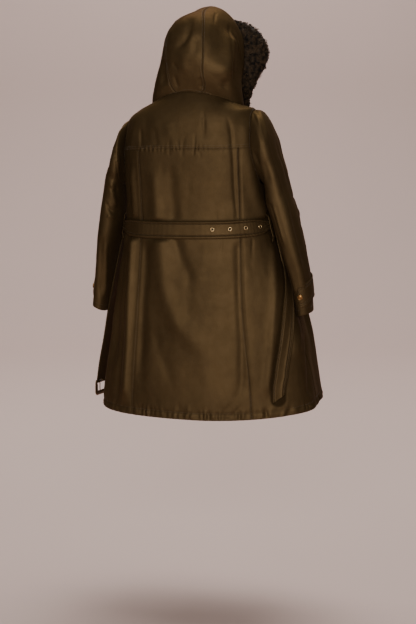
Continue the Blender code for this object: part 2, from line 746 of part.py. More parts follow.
def make_back_belt(cloth, cutters):
    angles = spread(BACK_BELT[0].angle, BACK_BELT[-1].angle, 36)
    places = [[belt_place(angle, share) for angle in angles] for share in (-1.0, 0.0, 1.0)]
    belt = strap_on_body("belt_back", places, cloth, BELT_STAND, BELT_CLOTH)
    for number, angle in enumerate(EYELET_ANGLES, 1):
        row = belt_place(angle, 0.0)[0]
        out = body_normal(row, angle)
        bpy.ops.mesh.primitive_cylinder_add(vertices=12, radius=EYELET_HOLE, depth=0.02)
        cutter = bpy.context.object
        cutter.name = "eyelet_cutter_%d" % number
        cutter.location = on_body(row, angle, BELT_STAND + BELT_CLOTH / 2.0)
        cutter.rotation_euler = out.to_track_quat("Z", "Y").to_euler()
        cutter.hide_render = True
        cutter.display_type = "WIRE"
        for home in list(cutter.users_collection):
            home.objects.unlink(cutter)
        cutters.objects.link(cutter)
        cut = belt.modifiers.new("eyelet_%d" % number, "BOOLEAN")
        cut.operation = "DIFFERENCE"
        cut.object = cutter


def make_eyelets(metal):
    for number, angle in enumerate(EYELET_ANGLES, 1):
        row = belt_place(angle, 0.0)[0]
        out = body_normal(row, angle)
        bpy.ops.mesh.primitive_torus_add(
            major_radius=EYELET_RING, minor_radius=EYELET_WIRE, major_segments=16, minor_segments=6
        )
        ring = bpy.context.object
        ring.name = "eyelet_%d" % number
        ring.location = on_body(row, angle, BELT_STAND + BELT_CLOTH + EYELET_WIRE + CONTACT)
        ring.rotation_euler = out.to_track_quat("Z", "Y").to_euler()
        ring.data.materials.append(metal)
        ring.data.shade_smooth()
        for home in list(ring.users_collection):
            home.objects.unlink(ring)
        bpy.data.collections["raincoat"].objects.link(ring)


def make_carrier(side, cloth):
    """A narrow loop over the belt: its ends lie on the coat, its middle passes over the belt."""
    middle = CARRIER_ANGLES[side]
    top, foot = CARRIER_ROWS
    over = BELT_STAND + BELT_CLOTH + BELT_STAND
    outer, inner = [], []
    for row in spread(top, foot, 12):
        lift = TAB_STAND + (over - TAB_STAND) * rise(row, top, top + 0.2) * rise(-row, -foot, 0.2 - foot)
        half = degrees_for(row, middle, CARRIER_HALF_WIDTH)
        angles = spread(middle - half, middle + half, 2)
        outer.append([on_body(row, angle, lift + CARRIER_CLOTH) for angle in angles])
        inner.append([on_body(row, angle, lift) for angle in angles])
    wall("belt_carrier_" + side, outer, inner, cloth)


def make_right_tail(cloth):
    rows = spread(RIGHT_TAIL[0].row, RIGHT_TAIL[-1].row, 18)
    places = []
    for row in rows:
        tail = Tail(*smooth_by_key(RIGHT_TAIL, row))
        half = degrees_for(row, tail.angle, tail.half_width)
        slant = -0.09 * rise(row, 13.0, 13.48)
        places.append(
            [(row + slant * share, tail.angle + half * share) for share in (-1.0, -0.33, 0.33, 1.0)]
        )
    strap_on_body("belt_tail_right", places, cloth, BELT_STAND, BELT_CLOTH)


def make_left_end(cloth):
    """The belt's left end, with two loops round the buckle's bar and a slot between them for the prong."""
    outer, inner = [], []
    for number in spread(0.0, len(LEFT_END) - 1.0, 21):
        hang = Hang(*smooth(LEFT_END, number))
        turn = math.radians(hang.turn)
        wide = Vector((math.sin(turn), math.cos(turn), 0.0))
        out = Vector((-math.cos(turn), math.sin(turn), 0.0))
        middle = Vector((hang.x, hang.y, hang.z))
        across = [middle + wide * (hang.half_width * share) for share in (-1.0, 0.0, 1.0)]
        outer.append([point + out * (BELT_CLOTH / 2.0) for point in across])
        inner.append([point - out * (BELT_CLOTH / 2.0) for point in across])
    strap = wall("belt_end_left", outer, inner, cloth)
    for offset in (-LOOP_OFFSET, LOOP_OFFSET):
        loop = bar_tube(offset)
        joined = strap.modifiers.new("loop", "BOOLEAN")
        joined.operation = "UNION"
        joined.object = loop
    slot = slot_cutter()
    opened = strap.modifiers.new("slot", "BOOLEAN")
    opened.operation = "DIFFERENCE"
    opened.object = slot


def bar_matrix():
    return Matrix.Translation(BAR_PLACE) @ Matrix.Rotation(math.radians(BAR_TURN), 4, "Z")


def bar_tube(offset):
    """A short tube round the bar, made as a turned ring about the bar's axis."""
    name = "bar_loop_%s" % ("back" if offset < 0.0 else "front")
    half = LOOP_LENGTH / 2.0
    corners = ((LOOP_OUTER, half), (LOOP_OUTER, -half), (LOOP_BORE, -half), (LOOP_BORE, half))
    mesh = bpy.data.meshes.new(name)
    mesh.from_pydata([(x, 0.0, z) for x, z in corners], [(0, 1), (1, 2), (2, 3), (3, 0)], [])
    tube = bpy.data.objects.new(name, mesh)
    bpy.data.collections["cutters"].objects.link(tube)
    turned = tube.modifiers.new("turn", "SCREW")
    turned.axis = "Z"
    turned.angle = math.tau
    turned.steps = turned.render_steps = 16
    turned.use_merge_vertices = True
    turned.merge_threshold = 0.00001
    tube.matrix_world = (
        bar_matrix() @ Matrix.Translation((0.0, offset, 0.0)) @ Matrix.Rotation(math.radians(-90.0), 4, "X")
    )
    tube.hide_render = True
    tube.display_type = "WIRE"
    return tube


def slot_cutter():
    """A block that opens the strap's lower end between the two loops."""
    bpy.ops.mesh.primitive_cube_add(size=1.0)
    block = bpy.context.object
    block.name = "prong_slot_cutter"
    block.data.transform(Matrix.Diagonal((*PRONG_SLOT, 1.0)))
    block.matrix_world = bar_matrix()
    block.hide_render = True
    block.display_type = "WIRE"
    for home in list(block.users_collection):
        home.objects.unlink(block)
    bpy.data.collections["cutters"].objects.link(block)
    return block


def bent_wire(name, points, radius, cyclic, material_used, parent):
    """A wire of one radius through points in the buckle's own frame: x out, y along the bar, z up."""
    curve = bpy.data.curves.new(name, "CURVE")
    curve.dimensions = "3D"
    curve.bevel_depth = radius
    curve.bevel_resolution = 2
    curve.use_fill_caps = True
    spline = curve.splines.new("POLY")
    spline.points.add(len(points) - 1)
    for spot, point in zip(spline.points, points):
        spot.co = (*point, 1.0)
    spline.use_cyclic_u = cyclic
    curve.materials.append(material_used)
    obj = bpy.data.objects.new(name, curve)
    bpy.data.collections["raincoat"].objects.link(obj)
    obj.parent = parent
    return obj


def frame_points():
    """A rounded rectangle with the bar as its upper side, on the axis y."""
    half = FRAME_WIDTH / 2.0
    centres = (
        (half - FRAME_CORNER, -FRAME_CORNER, 0.0),
        (FRAME_CORNER - half, -FRAME_CORNER, 90.0),
        (FRAME_CORNER - half, FRAME_CORNER - FRAME_DROP, 180.0),
        (half - FRAME_CORNER, FRAME_CORNER - FRAME_DROP, 270.0),
    )
    points = []
    for y, z, start in centres:
        for turn in spread(math.radians(start), math.radians(start + 90.0), 4):
            points.append((0.0, y + FRAME_CORNER * math.cos(turn), z + FRAME_CORNER * math.sin(turn)))
    return points


def prong_points():
    """An eye round the bar, then a pin down the outer face of the frame to its lower side."""
    rest = -(FRAME_WIRE + PRONG_WIRE + CONTACT + 0.0006)  # the pin rests this far out, on the frame
    points = []
    for turn in spread(math.radians(-130.0), math.radians(180.0), 12):
        points.append((PRONG_EYE * math.cos(turn), 0.0, PRONG_EYE * math.sin(turn)))
    for drop in (0.006, 0.016, 0.028, FRAME_DROP + 0.002):
        points.append((rest, 0.0, -drop))
    return points


def make_buckle(metal):
    bar = bpy.data.objects.new("buckle_bar_axis", None)
    bpy.data.collections["raincoat"].objects.link(bar)
    bar.matrix_world = bar_matrix()
    bent_wire("buckle_frame", frame_points(), FRAME_WIRE, True, metal, bar)
    bent_wire("buckle_prong", prong_points(), PRONG_WIRE, False, metal, bar)


# ---------------------------------------------------------------- the coat


def clear_scene():
    for obj in list(bpy.data.objects):
        bpy.data.objects.remove(obj, do_unlink=True)


def main():
    clear_scene()
    for name in ("raincoat", "cutters"):
        bpy.context.scene.collection.children.link(bpy.data.collections.new(name))
    cutters = bpy.data.collections["cutters"]
    cloth = material("satin_cloth", CLOTH_COLOUR, 0.45)
    fur = material("fur", FUR_COLOUR, 0.95)
    metal = material("gold_metal", METAL_COLOUR, 0.3, 1.0)
    buckle = material("buckle_bronze", BUCKLE_COLOUR, 0.4, 0.6)
    make_body(cloth)
    for side in ("left", "right"):
        make_sleeve(side, cloth)
        make_tab(side, cloth)
        make_tab_button(side, metal)
        make_carrier(side, cloth)
    make_front_buttons(metal)
    make_hood(cloth)
    make_fur(fur)
    make_back_belt(cloth, cutters)
    make_eyelets(metal)
    make_left_end(cloth)
    make_right_tail(cloth)
    make_buckle(buckle)


main()
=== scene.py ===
"""A hooded raincoat, worn: satin cloth, fur trim, belt, buckle and buttons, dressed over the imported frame.

Metres. The wearer faces +Y, +X is the wearer's right, +Z is up. The coat's surfaces are worked out from the
tables of sections below; creases, gathers and seams are laid on them in their own tables.
"""

import math
from collections import namedtuple
from functools import partial

import bmesh
import bpy
import numpy as np
from bpy.props import FloatProperty, FloatVectorProperty, IntProperty, PointerProperty
from mathutils import Matrix, Vector, noise


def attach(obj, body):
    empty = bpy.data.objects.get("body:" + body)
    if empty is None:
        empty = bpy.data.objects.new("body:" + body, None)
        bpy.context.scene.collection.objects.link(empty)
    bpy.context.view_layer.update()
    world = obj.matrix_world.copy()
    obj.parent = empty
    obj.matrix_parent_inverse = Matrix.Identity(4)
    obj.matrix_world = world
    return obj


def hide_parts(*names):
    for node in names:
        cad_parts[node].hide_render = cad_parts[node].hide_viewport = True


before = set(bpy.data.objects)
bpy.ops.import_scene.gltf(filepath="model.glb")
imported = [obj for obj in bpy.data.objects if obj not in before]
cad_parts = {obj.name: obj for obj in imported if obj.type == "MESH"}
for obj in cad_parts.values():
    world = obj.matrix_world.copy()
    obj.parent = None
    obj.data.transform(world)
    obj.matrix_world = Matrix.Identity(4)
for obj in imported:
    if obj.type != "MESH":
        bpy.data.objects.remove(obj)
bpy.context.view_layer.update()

bl_info = {
    "name": "Hooded Raincoat",
    "version": (1, 0, 0),
    "blender": (4, 5, 0),
    "location": "3D View > Sidebar > Raincoat",
    "description": "Builds a worn, hooded satin raincoat with a fur trim, belt and buckle",
    "category": "Add Mesh",
}


# ---------------------------------------------------------------- sizes of the coat

SIDES = ("left", "right")
SEAM_GAP = 0.00006
ARMHOLE_STAND = 0.0002
NECK_STAND = 0.0008
SLEEVE_CLEARANCE = 0.004
BELT_CLOTH = 0.0040
BELT_STAND = 0.0012
TAIL_STAND = 0.0026
CARRIER_CLOTH = 0.0016
CARRIER_HALF_WIDTH = 0.006
TAB_CLOTH = 0.0022
TAB_STAND = 0.0006
TAB_HALF_LENGTH = 0.48  # half of the tab's width, in rows of the sleeve
LAP_LIFT = 0.0030
LAP_START, LAP_FULL, LAP_END = 166.0, 172.0, 188.0  # degrees round the body
LEFT_FRONT_END = -186.0
FRONT_STITCH, CUFF_STITCH = 0.008, 0.020  # stitched this far from their edges
EYELET_ANGLES = (16.5, 30.0, 44.5, 61.5)
EYELET_HOLE = 0.0041
DOUBLE_ROW = (0.16, 0.36)  # a strap's two rows of stitching, as shares from its edge
DOUBLE_SHARES = (-0.84, -0.64, 0.64, 0.84)
FRONT_BUTTON_ROWS = (2.6, 5.0, 7.2, 9.8, 11.3)
CONTACT = 0.0003
BAR_PLACE = (-0.3340, 0.0240, -0.9260)
BAR_TURN = -12.0  # degrees about Z
FRAME_WIDTH, FRAME_DROP, FRAME_WIRE, FRAME_CORNER = 0.0640, 0.0420, 0.0025, 0.006
LOOP_RADIUS, LOOP_THICK, LOOP_LENGTH, LOOP_OFFSET = 0.0045, 0.0011, 0.019, 0.0165
PRONG_WIRE, PRONG_EYE = 0.0015, 0.0046
ARMHOLE_TOP, YOKE_ROW, UNDERARM, HEM_ROW = 2.0, 4.0, 6.0, 14.0
HOOD_TURN, HOOD_SHIFT, HOOD_TILT = 14.0, 0.012, 0.022
FACE_ROW = 6.0
NAPE_ROWS = 0.8
HOOD_SQUARE = 2.08
FUR_FORWARD, FUR_DEEP = 0.034, 0.038
FUR_STAND, FUR_STAND_OFF = 0.0007, 0.0022
FUR_THICK, FUR_THICKER, FUR_OUT = 0.030, 0.013, 0.016
FUR_SPLAY, FUR_SHRINK = 0.08, 0.0035
SLEEVE_SQUARE = 2.3
CUFF_ROW = 12.0
TAB_ROW = 11.1
TAB_SLOPE = 0.0035
TAB_BUTTON_TURN = 22.5 * 0.55  # degrees from the tab's point to its button

# Sections of the body, neck to hem. left, right, back and front are half extents from the axis; the z columns
# give the section's height at each of its four sides; square is the superellipse's power.
Section = namedtuple("Section", "left right back front z_back z_left z_right z_front square")
BODY = (
    Section(0.140, 0.148, 0.088, 0.098, 0.000, -0.038, -0.040, -0.098, 2.2),  # 0 neckline
    Section(0.178, 0.168, 0.108, 0.114, -0.038, -0.054, -0.046, -0.122, 2.3),  # 1 shoulder
    Section(0.212, 0.184, 0.122, 0.126, -0.080, -0.081, -0.054, -0.146, 2.4),  # 2 armhole's top
    Section(0.224, 0.198, 0.130, 0.134, -0.128, -0.132, -0.106, -0.175, 2.4),  # 3 shoulder blades
    Section(0.229, 0.207, 0.134, 0.140, -0.170, -0.178, -0.165, -0.205, 2.4),  # 4 yoke seam
    Section(0.228, 0.214, 0.135, 0.145, -0.224, -0.228, -0.224, -0.242, 2.4),  # 5 chest
    Section(0.225, 0.218, 0.134, 0.146, -0.275, -0.278, -0.278, -0.286, 2.4),  # 6 underarm
    Section(0.222, 0.226, 0.132, 0.145, -0.335, -0.335, -0.335, -0.338, 2.4),  # 7
    Section(0.224, 0.237, 0.133, 0.146, -0.385, -0.385, -0.385, -0.387, 2.4),  # 8 belt's top
    Section(0.232, 0.249, 0.138, 0.149, -0.440, -0.440, -0.440, -0.442, 2.4),  # 9 belt's foot
    Section(0.246, 0.271, 0.148, 0.156, -0.530, -0.530, -0.530, -0.532, 2.4),  # 10
    Section(0.260, 0.308, 0.159, 0.165, -0.640, -0.640, -0.640, -0.642, 2.5),  # 11
    Section(0.269, 0.341, 0.169, 0.174, -0.750, -0.750, -0.748, -0.748, 2.5),  # 12
    Section(0.285, 0.364, 0.178, 0.184, -0.860, -0.860, -0.852, -0.855, 2.5),  # 13
    Section(0.302, 0.385, 0.187, 0.194, -0.988, -0.984, -0.962, -0.978, 2.5),  # 14 hem
)

# The largest folds: a ridge (depth above zero) or trough centred at an angle round the body, grown from row
# top to row full and changing to its depth at the hem.
Fold = namedtuple("Fold", "angle width depth hem top full")
FOLDS = (
    Fold(6.0, 14.0, 0.006, 0.007, 8.5, 13.5),
    Fold(72.0, 17.0, 0.012, 0.009, 8.4, 10.2),  # the hip, where the belt's tail lies
    Fold(125.0, 16.0, 0.072, 0.061, 7.8, 11.5),  # the right front swings out
    Fold(152.0, 9.0, -0.012, -0.014, 9.5, 12.5),
    Fold(-120.0, 14.0, 0.010, 0.013, 9.5, 13.5),
    Fold(-143.0, 10.0, -0.009, -0.012, 9.5, 13.5),
)

# How far the armhole is cut into the back and the front at its middle, in degrees from the side.
Armhole = namedtuple("Armhole", "back front")
ARMHOLES = {"right": Armhole(29.0, 27.0), "left": Armhole(13.0, 27.0)}

# Princess seams: distance of each from the coat's middle, from the yoke seam to the hem.
Princess = namedtuple("Princess", "row left right")
PRINCESS = (
    Princess(4.0, 0.158, 0.157),
    Princess(6.0, 0.152, 0.161),
    Princess(8.5, 0.149, 0.167),
    Princess(11.0, 0.155, 0.181),
    Princess(14.0, 0.168, 0.219),
)

# Sections of the sleeves below the armhole's own ring. out is the point farthest from the body, in the
# nearest to it.
Cuff = namedtuple("Cuff", "out_x out_z in_x in_z back front")
SLEEVES = {
    "right": (
        Cuff(0.208, -0.057, 0.2235, -0.281, 0.090, 0.083),
        Cuff(0.229, -0.085, 0.2250, -0.285, 0.092, 0.085),
        Cuff(0.246, -0.125, 0.2255, -0.290, 0.091, 0.084),
        Cuff(0.262, -0.180, 0.2255, -0.298, 0.088, 0.081),
        Cuff(0.281, -0.235, 0.2255, -0.310, 0.086, 0.077),
        Cuff(0.299, -0.295, 0.2260, -0.335, 0.085, 0.072),
        Cuff(0.317, -0.355, 0.2400, -0.375, 0.086, 0.066),
        Cuff(0.335, -0.425, 0.2590, -0.435, 0.086, 0.060),
        Cuff(0.349, -0.485, 0.2780, -0.490, 0.080, 0.060),
        Cuff(0.361, -0.545, 0.2955, -0.550, 0.070, 0.062),
        Cuff(0.369, -0.610, 0.3115, -0.615, 0.060, 0.062),
        Cuff(0.3705, -0.668, 0.3225, -0.682, 0.050, 0.062),
    ),
    "left": (
        Cuff(0.229, -0.093, 0.2320, -0.281, 0.086, 0.083),
        Cuff(0.240, -0.115, 0.2335, -0.285, 0.088, 0.085),
        Cuff(0.250, -0.150, 0.2335, -0.290, 0.088, 0.084),
        Cuff(0.263, -0.195, 0.2335, -0.298, 0.086, 0.081),
        Cuff(0.283, -0.240, 0.2335, -0.310, 0.084, 0.077),
        Cuff(0.295, -0.300, 0.2335, -0.335, 0.083, 0.072),
        Cuff(0.306, -0.360, 0.2350, -0.375, 0.084, 0.066),
        Cuff(0.3155, -0.425, 0.2460, -0.435, 0.082, 0.060),
        Cuff(0.3225, -0.485, 0.2630, -0.490, 0.074, 0.060),
        Cuff(0.3280, -0.545, 0.2750, -0.550, 0.064, 0.062),
        Cuff(0.3360, -0.605, 0.2860, -0.612, 0.054, 0.062),
        Cuff(0.3435, -0.668, 0.2990, -0.688, 0.046, 0.064),
    ),
}
Tab = namedtuple("Tab", "start end")
TABS = {"right": Tab(-67.5, 101.0), "left": Tab(-112.5, 24.0)}  # degrees round the sleeve, 90 is its back

# Ribs of the hood, nape to face opening. base is where the rib meets the neckline, in degrees round the body;
# y_top and z_top place its crown; bulge widens it half way up; the last columns place the gusset's two seams.
Rib = namedtuple("Rib", "base y_top z_top bulge gusset_left gusset_right")
HOOD = (
    Rib(22.0, -0.090, 0.003, 0.000, 56.0, 54.0),  # nape
    Rib(40.0, -0.114, 0.060, -0.006, 38.0, 37.5),
    Rib(62.0, -0.122, 0.130, -0.020, 31.0, 35.0),
    Rib(84.0, -0.104, 0.198, -0.031, 28.0, 24.0),
    Rib(106.0, -0.050, 0.242, -0.020, 20.0, 7.0),  # crown
    Rib(128.0, 0.030, 0.259, 0.022, 18.0, 4.0),
    Rib(150.0, 0.098, 0.220, 0.082, 17.0, 5.0),  # face opening
)

# The belt's left end hangs free: where its middle is and how wide it is, from the carrier to the bar.
Hang = namedtuple("Hang", "z x y half_width turn")
LEFT_END = (
    Hang(-0.392, -0.2295, 0.0125, 0.017, 0.0),
    Hang(-0.430, -0.2380, 0.0150, 0.022, 0.0),
    Hang(-0.500, -0.2555, 0.0180, 0.0245, 1.0),
    Hang(-0.600, -0.2770, 0.0190, 0.0245, 3.0),
    Hang(-0.680, -0.2930, 0.0200, 0.0245, 6.0),
    Hang(-0.780, -0.3095, 0.0220, 0.0245, 9.0),
    Hang(-0.860, -0.3245, 0.0235, 0.0245, 12.0),
    Hang(-0.9215, -0.3340, 0.0240, 0.0245, 12.0),
)

# The belt's right tail lies on the coat: its middle's place round the body for each row.
Tail = namedtuple("Tail", "row angle half_width")
RIGHT_TAIL = (
    Tail(8.12, 92.5, 0.0160),
    Tail(9.0, 92.5, 0.0170),
    Tail(10.0, 90.0, 0.0235),
    Tail(11.0, 72.5, 0.0225),
    Tail(12.0, 59.5, 0.0215),
    Tail(13.0, 50.5, 0.0215),
    Tail(13.48, 47.0, 0.0215),
)

# The belt across the back: its upper edge's row and its half width, round the body.
Belt = namedtuple("Belt", "angle row half_width")
BACK_BELT = (
    Belt(-86.0, 8.44, 0.010),
    Belt(-78.0, 8.45, 0.0105),
    Belt(-71.0, 8.46, 0.0135),
    Belt(-63.0, 8.48, 0.0180),
    Belt(-52.0, 8.52, 0.0235),
    Belt(-20.0, 8.56, 0.0245),
    Belt(25.0, 8.50, 0.0245),
    Belt(55.0, 8.40, 0.0240),
    Belt(66.0, 8.37, 0.0200),
    Belt(74.0, 8.35, 0.0145),
    Belt(80.5, 8.34, 0.0120),
)
CARRIER_ANGLES = {"left": -82.0, "right": 79.0}
CARRIER_ROWS = (7.70, 9.15)


# ---------------------------------------------------------------- creases and seams

# A crease runs through places on a surface. width is from its middle to where it fades, depth is above zero
# for a ridge and below for a trough, head and foot are the shares of its length over which it fades in and
# out, and lean above zero makes the side after it steeper.
Crease = namedtuple("Crease", "path width depth head foot lean", defaults=(0.0,))

YOKE_CREASES = (
    Crease(((1, 13.8), (2.2, 13.2), (3.6, 13)), 0.006, -0.0026, 0.5, 0.5),
    Crease(((2.7, 6.4), (3.95, 5.6)), 0.0035, -0.0014, 0.7, 0, 0.2),
    Crease(((2.8, 0), (3.95, -1.2)), 0.0036, -0.0014, 0.7, 0, -0.2),
    Crease(((3.2, -4.2), (3.97, -3.2)), 0.0034, -0.0013, 0.7, 0),
    Crease(((3.2, -9.6), (3.97, -9)), 0.0034, -0.0012, 0.7, 0),
    Crease(
        ((1.9, 33), (2.2, 37), (2.9, 39.2), (4, 38.9), (5.5, 38.7), (7.95, 38.2)),
        0.0065, -0.0028, 0.2, 0, 0.1,
    ),
    Crease(((2.4, -40), (3.2, -37.5), (3.95, -35)), 0.006, -0.0026, 0.4, 0.1, -0.2),
    Crease(((2.2, -49), (3, -50), (3.95, -51)), 0.011, 0.002, 0.4, 0.1),
    Crease(((2.3, -24.5), (3.85, -19)), 0.011, -0.0022, 0.4, 0.1, 0.2),
    Crease(((1.9, -13.2), (3.4, -8.5)), 0.015, 0.0018, 0.4, 0.4),
    Crease(((1.1, -34), (2.6, -33), (3.9, -31)), 0.024, -0.0042, 0.4, 0.2),
)
BACK_CREASES = (
    Crease(((4.05, -9), (4.5, -9.2)), 0.0034, -0.0013, 0, 0.7),
    Crease(((4.05, -1.2), (4.6, -1)), 0.0034, -0.0013, 0, 0.7),
    Crease(((4.05, 5), (4.5, 4.8)), 0.0034, -0.0013, 0, 0.7),
    Crease(((4.05, 9.4), (4.6, 9.7)), 0.0034, -0.0013, 0, 0.7),
    Crease(((4.35, -54.5), (6.35, -56.2), (8, -53.5)), 0.019, -0.0036, 0.2, 0.1),
    Crease(((4.3, -50), (6.3, -49), (8, -48)), 0.014, 0.008, 0.4, 0.1),
    Crease(((4.3, -22.5), (6.3, -21.5), (8, -20.5)), 0.022, 0.0078, 0.55, 0),
    Crease(((4.8, -8), (6.4, -7.5), (8, -6.5)), 0.017, -0.0036, 0.3, 0),
    Crease(((2.2, 63), (3, 60), (4, 57.5), (5.4, 61), (6.3, 64), (7.2, 70), (8, 72)), 0.023, 0.0085, 0.15, 0),
    Crease(((4.6, 71), (5.5, 78), (6.4, 85), (7.4, 91)), 0.017, -0.006, 0.2, 0.2),
    Crease(((7.3, 20.5), (8.15, 19.6)), 0.004, -0.0012, 0.7, 0),
    Crease(((7.4, 36), (8.15, 35.4)), 0.004, -0.0013, 0.7, 0),
    Crease(((7.3, -36.5), (8.15, -35.6)), 0.0044, -0.0014, 0.7, 0),
    Crease(((7.2, -66), (8.15, -70)), 0.0046, -0.0018, 0.6, 0),
    Crease(((7.5, -76), (8.2, -78)), 0.0037, -0.0015, 0.6, 0),
)
SKIRT_CREASES = (
    Crease(((9.1, -68), (10.6, -63), (11.9, -60), (13.2, -56)), 0.03, -0.0115, 0.1, 0.3),
    Crease(
        ((8.9, -44.4), (9.8, -42.8), (11, -38.4), (12, -36.6), (13, -35), (13.7, -34)),
        0.0165, 0.015, 0.05, 0.1, 0.1,
    ),
    Crease(
        ((8.9, -16.5), (9.6, -14.5), (10.3, -11.5), (11.2, -4.5), (12, 3), (12.8, 10)),
        0.032, 0.0105, 0.05, 0.5,
    ),
    Crease(((9, -29.5), (10.4, -26.5), (12.2, -24.5), (13.5, -22.5)), 0.017, -0.0068, 0.1, 0.3),
    Crease(((9.05, -5), (9.65, -1.7), (10.3, 2), (10.9, 4)), 0.018, -0.0056, 0, 0.7),
    Crease(((11.2, -19.5), (12.05, -13), (12.75, -6.7), (13.35, -3)), 0.018, -0.0024, 0.4, 0.3, -0.1),
    Crease(
        ((9, 36.5), (10, 33.5), (11, 29), (12.3, 26.5), (13.2, 24.5), (13.65, 18)),
        0.0125, -0.0045, 0.05, 0.2,
    ),
    Crease(((9, 78), (9.6, 72), (10.35, 65), (11.4, 53), (12.5, 44.5), (13.5, 39)), 0.015, 0.006, 0.1, 0.1),
    Crease(((11.3, 84), (12.6, 66)), 0.0174, 0.005, 0.3, 0.3),
    Crease(((11.7, 98), (13.6, 77)), 0.0218, -0.008, 0.3, 0.1),
    Crease(((9.2, -52), (10.6, -49), (12.3, -46), (13.9, -44.5)), 0.0145, -0.0046, 0.1, 0.1),
    Crease(((10.8, -74), (12.4, -71), (13.9, -70)), 0.02, 0.007, 0.3, 0.1),
    Crease(((9.05, 23), (9.8, 20.5)), 0.005, -0.0012, 0, 0.8),
    Crease(((9.05, 50), (9.8, 46)), 0.005, -0.0015, 0, 0.8),
    Crease(((9.05, -60), (9.8, -57.5)), 0.005, -0.0018, 0, 0.7),
    Crease(((9.05, -80), (10.2, -77)), 0.0066, -0.0026, 0, 0.6),
)
HEM_CREASES = (
    Crease(((13.6, -21), (13.98, -20)), 0.0055, -0.0022, 0.4, 0.1),
    Crease(((13.66, -15), (13.98, -15.2)), 0.004, -0.0016, 0.4, 0.1),
    Crease(((13.62, -12.4), (13.98, -12)), 0.0037, -0.0015, 0.4, 0.1),
    Crease(((13.66, -5), (13.98, -5.4)), 0.004, -0.0016, 0.4, 0.1),
    Crease(((13.5, -0.6), (13.98, 0.4)), 0.0066, -0.0026, 0.4, 0.1, 0.3),
    Crease(((13.55, 1.6), (13.98, 2.4)), 0.0055, 0.0022, 0.4, 0.1),
    Crease(((13.66, 5.4), (13.98, 5.6)), 0.004, -0.0016, 0.4, 0.1),
    Crease(((13.64, 9), (13.98, 9.4)), 0.004, -0.0016, 0.4, 0.1),
    Crease(((13.98, 13), (13.74, 15), (13.48, 20)), 0.0044, -0.0018, 0.1, 0.4, 0.2),
    Crease(((13.98, 16.2), (13.76, 20), (13.52, 25.5)), 0.0044, -0.0018, 0.1, 0.4, 0.2),
    Crease(((13.64, 23), (13.98, 22.6)), 0.004, -0.0016, 0.4, 0.1),
    Crease(((13.62, 29.4), (13.98, 29.6)), 0.0044, -0.0018, 0.4, 0.1),
    Crease(((13.64, 38), (13.98, 38.4)), 0.0044, -0.0018, 0.4, 0.1),
    Crease(((13.62, -36), (13.98, -36.6)), 0.0044, -0.0018, 0.4, 0.1),
    Crease(((13.62, -46), (13.98, -46)), 0.0044, -0.0018, 0.4, 0.1),
)
FRONT_CREASES = (
    Crease(((2.4, 140), (4.6, 146), (7.9, 148)), 0.0159, 0.0055, 0.2, 0.1),
    Crease(((4.2, 118), (6.2, 122), (7.9, 124)), 0.0174, -0.006, 0.2, 0.1),
    Crease(((3, 152), (5.5, 158), (7.9, 160)), 0.0116, -0.004, 0.3, 0.1),
    Crease(((2.4, -138), (4.6, -144), (7.9, -146)), 0.0159, 0.0055, 0.2, 0.1),
    Crease(((4.2, -116), (6.2, -120), (7.9, -122)), 0.0174, -0.006, 0.2, 0.1),
    Crease(((3.2, -154), (5.6, -160), (7.9, -163)), 0.0116, -0.004, 0.3, 0.1),
    Crease(((8.6, -104), (10.6, -108), (12.8, -106)), 0.0232, -0.0085, 0.2, 0.3),
    Crease(((9, -128), (11.2, -131), (13.7, -129)), 0.0174, 0.0065, 0.2, 0.1),
    Crease(((8.6, -150), (10.8, -154), (13.4, -156)), 0.0145, -0.0058, 0.1, 0.2),
    Crease(((9.4, -168), (11.8, -166), (13.7, -168)), 0.0174, 0.005, 0.2, 0.1),
    Crease(((8.7, 106), (10.4, 112), (12.9, 108)), 0.0232, -0.008, 0.2, 0.3),
    Crease(((8.8, 134), (11, 138), (13.7, 136)), 0.0174, 0.006, 0.2, 0.1),
    Crease(((8.7, 146), (10.9, 150), (13.2, 148)), 0.013, -0.0052, 0.1, 0.2),
    Crease(((9.6, 163), (12, 162), (13.7, 164)), 0.0174, 0.0045, 0.2, 0.1),
)
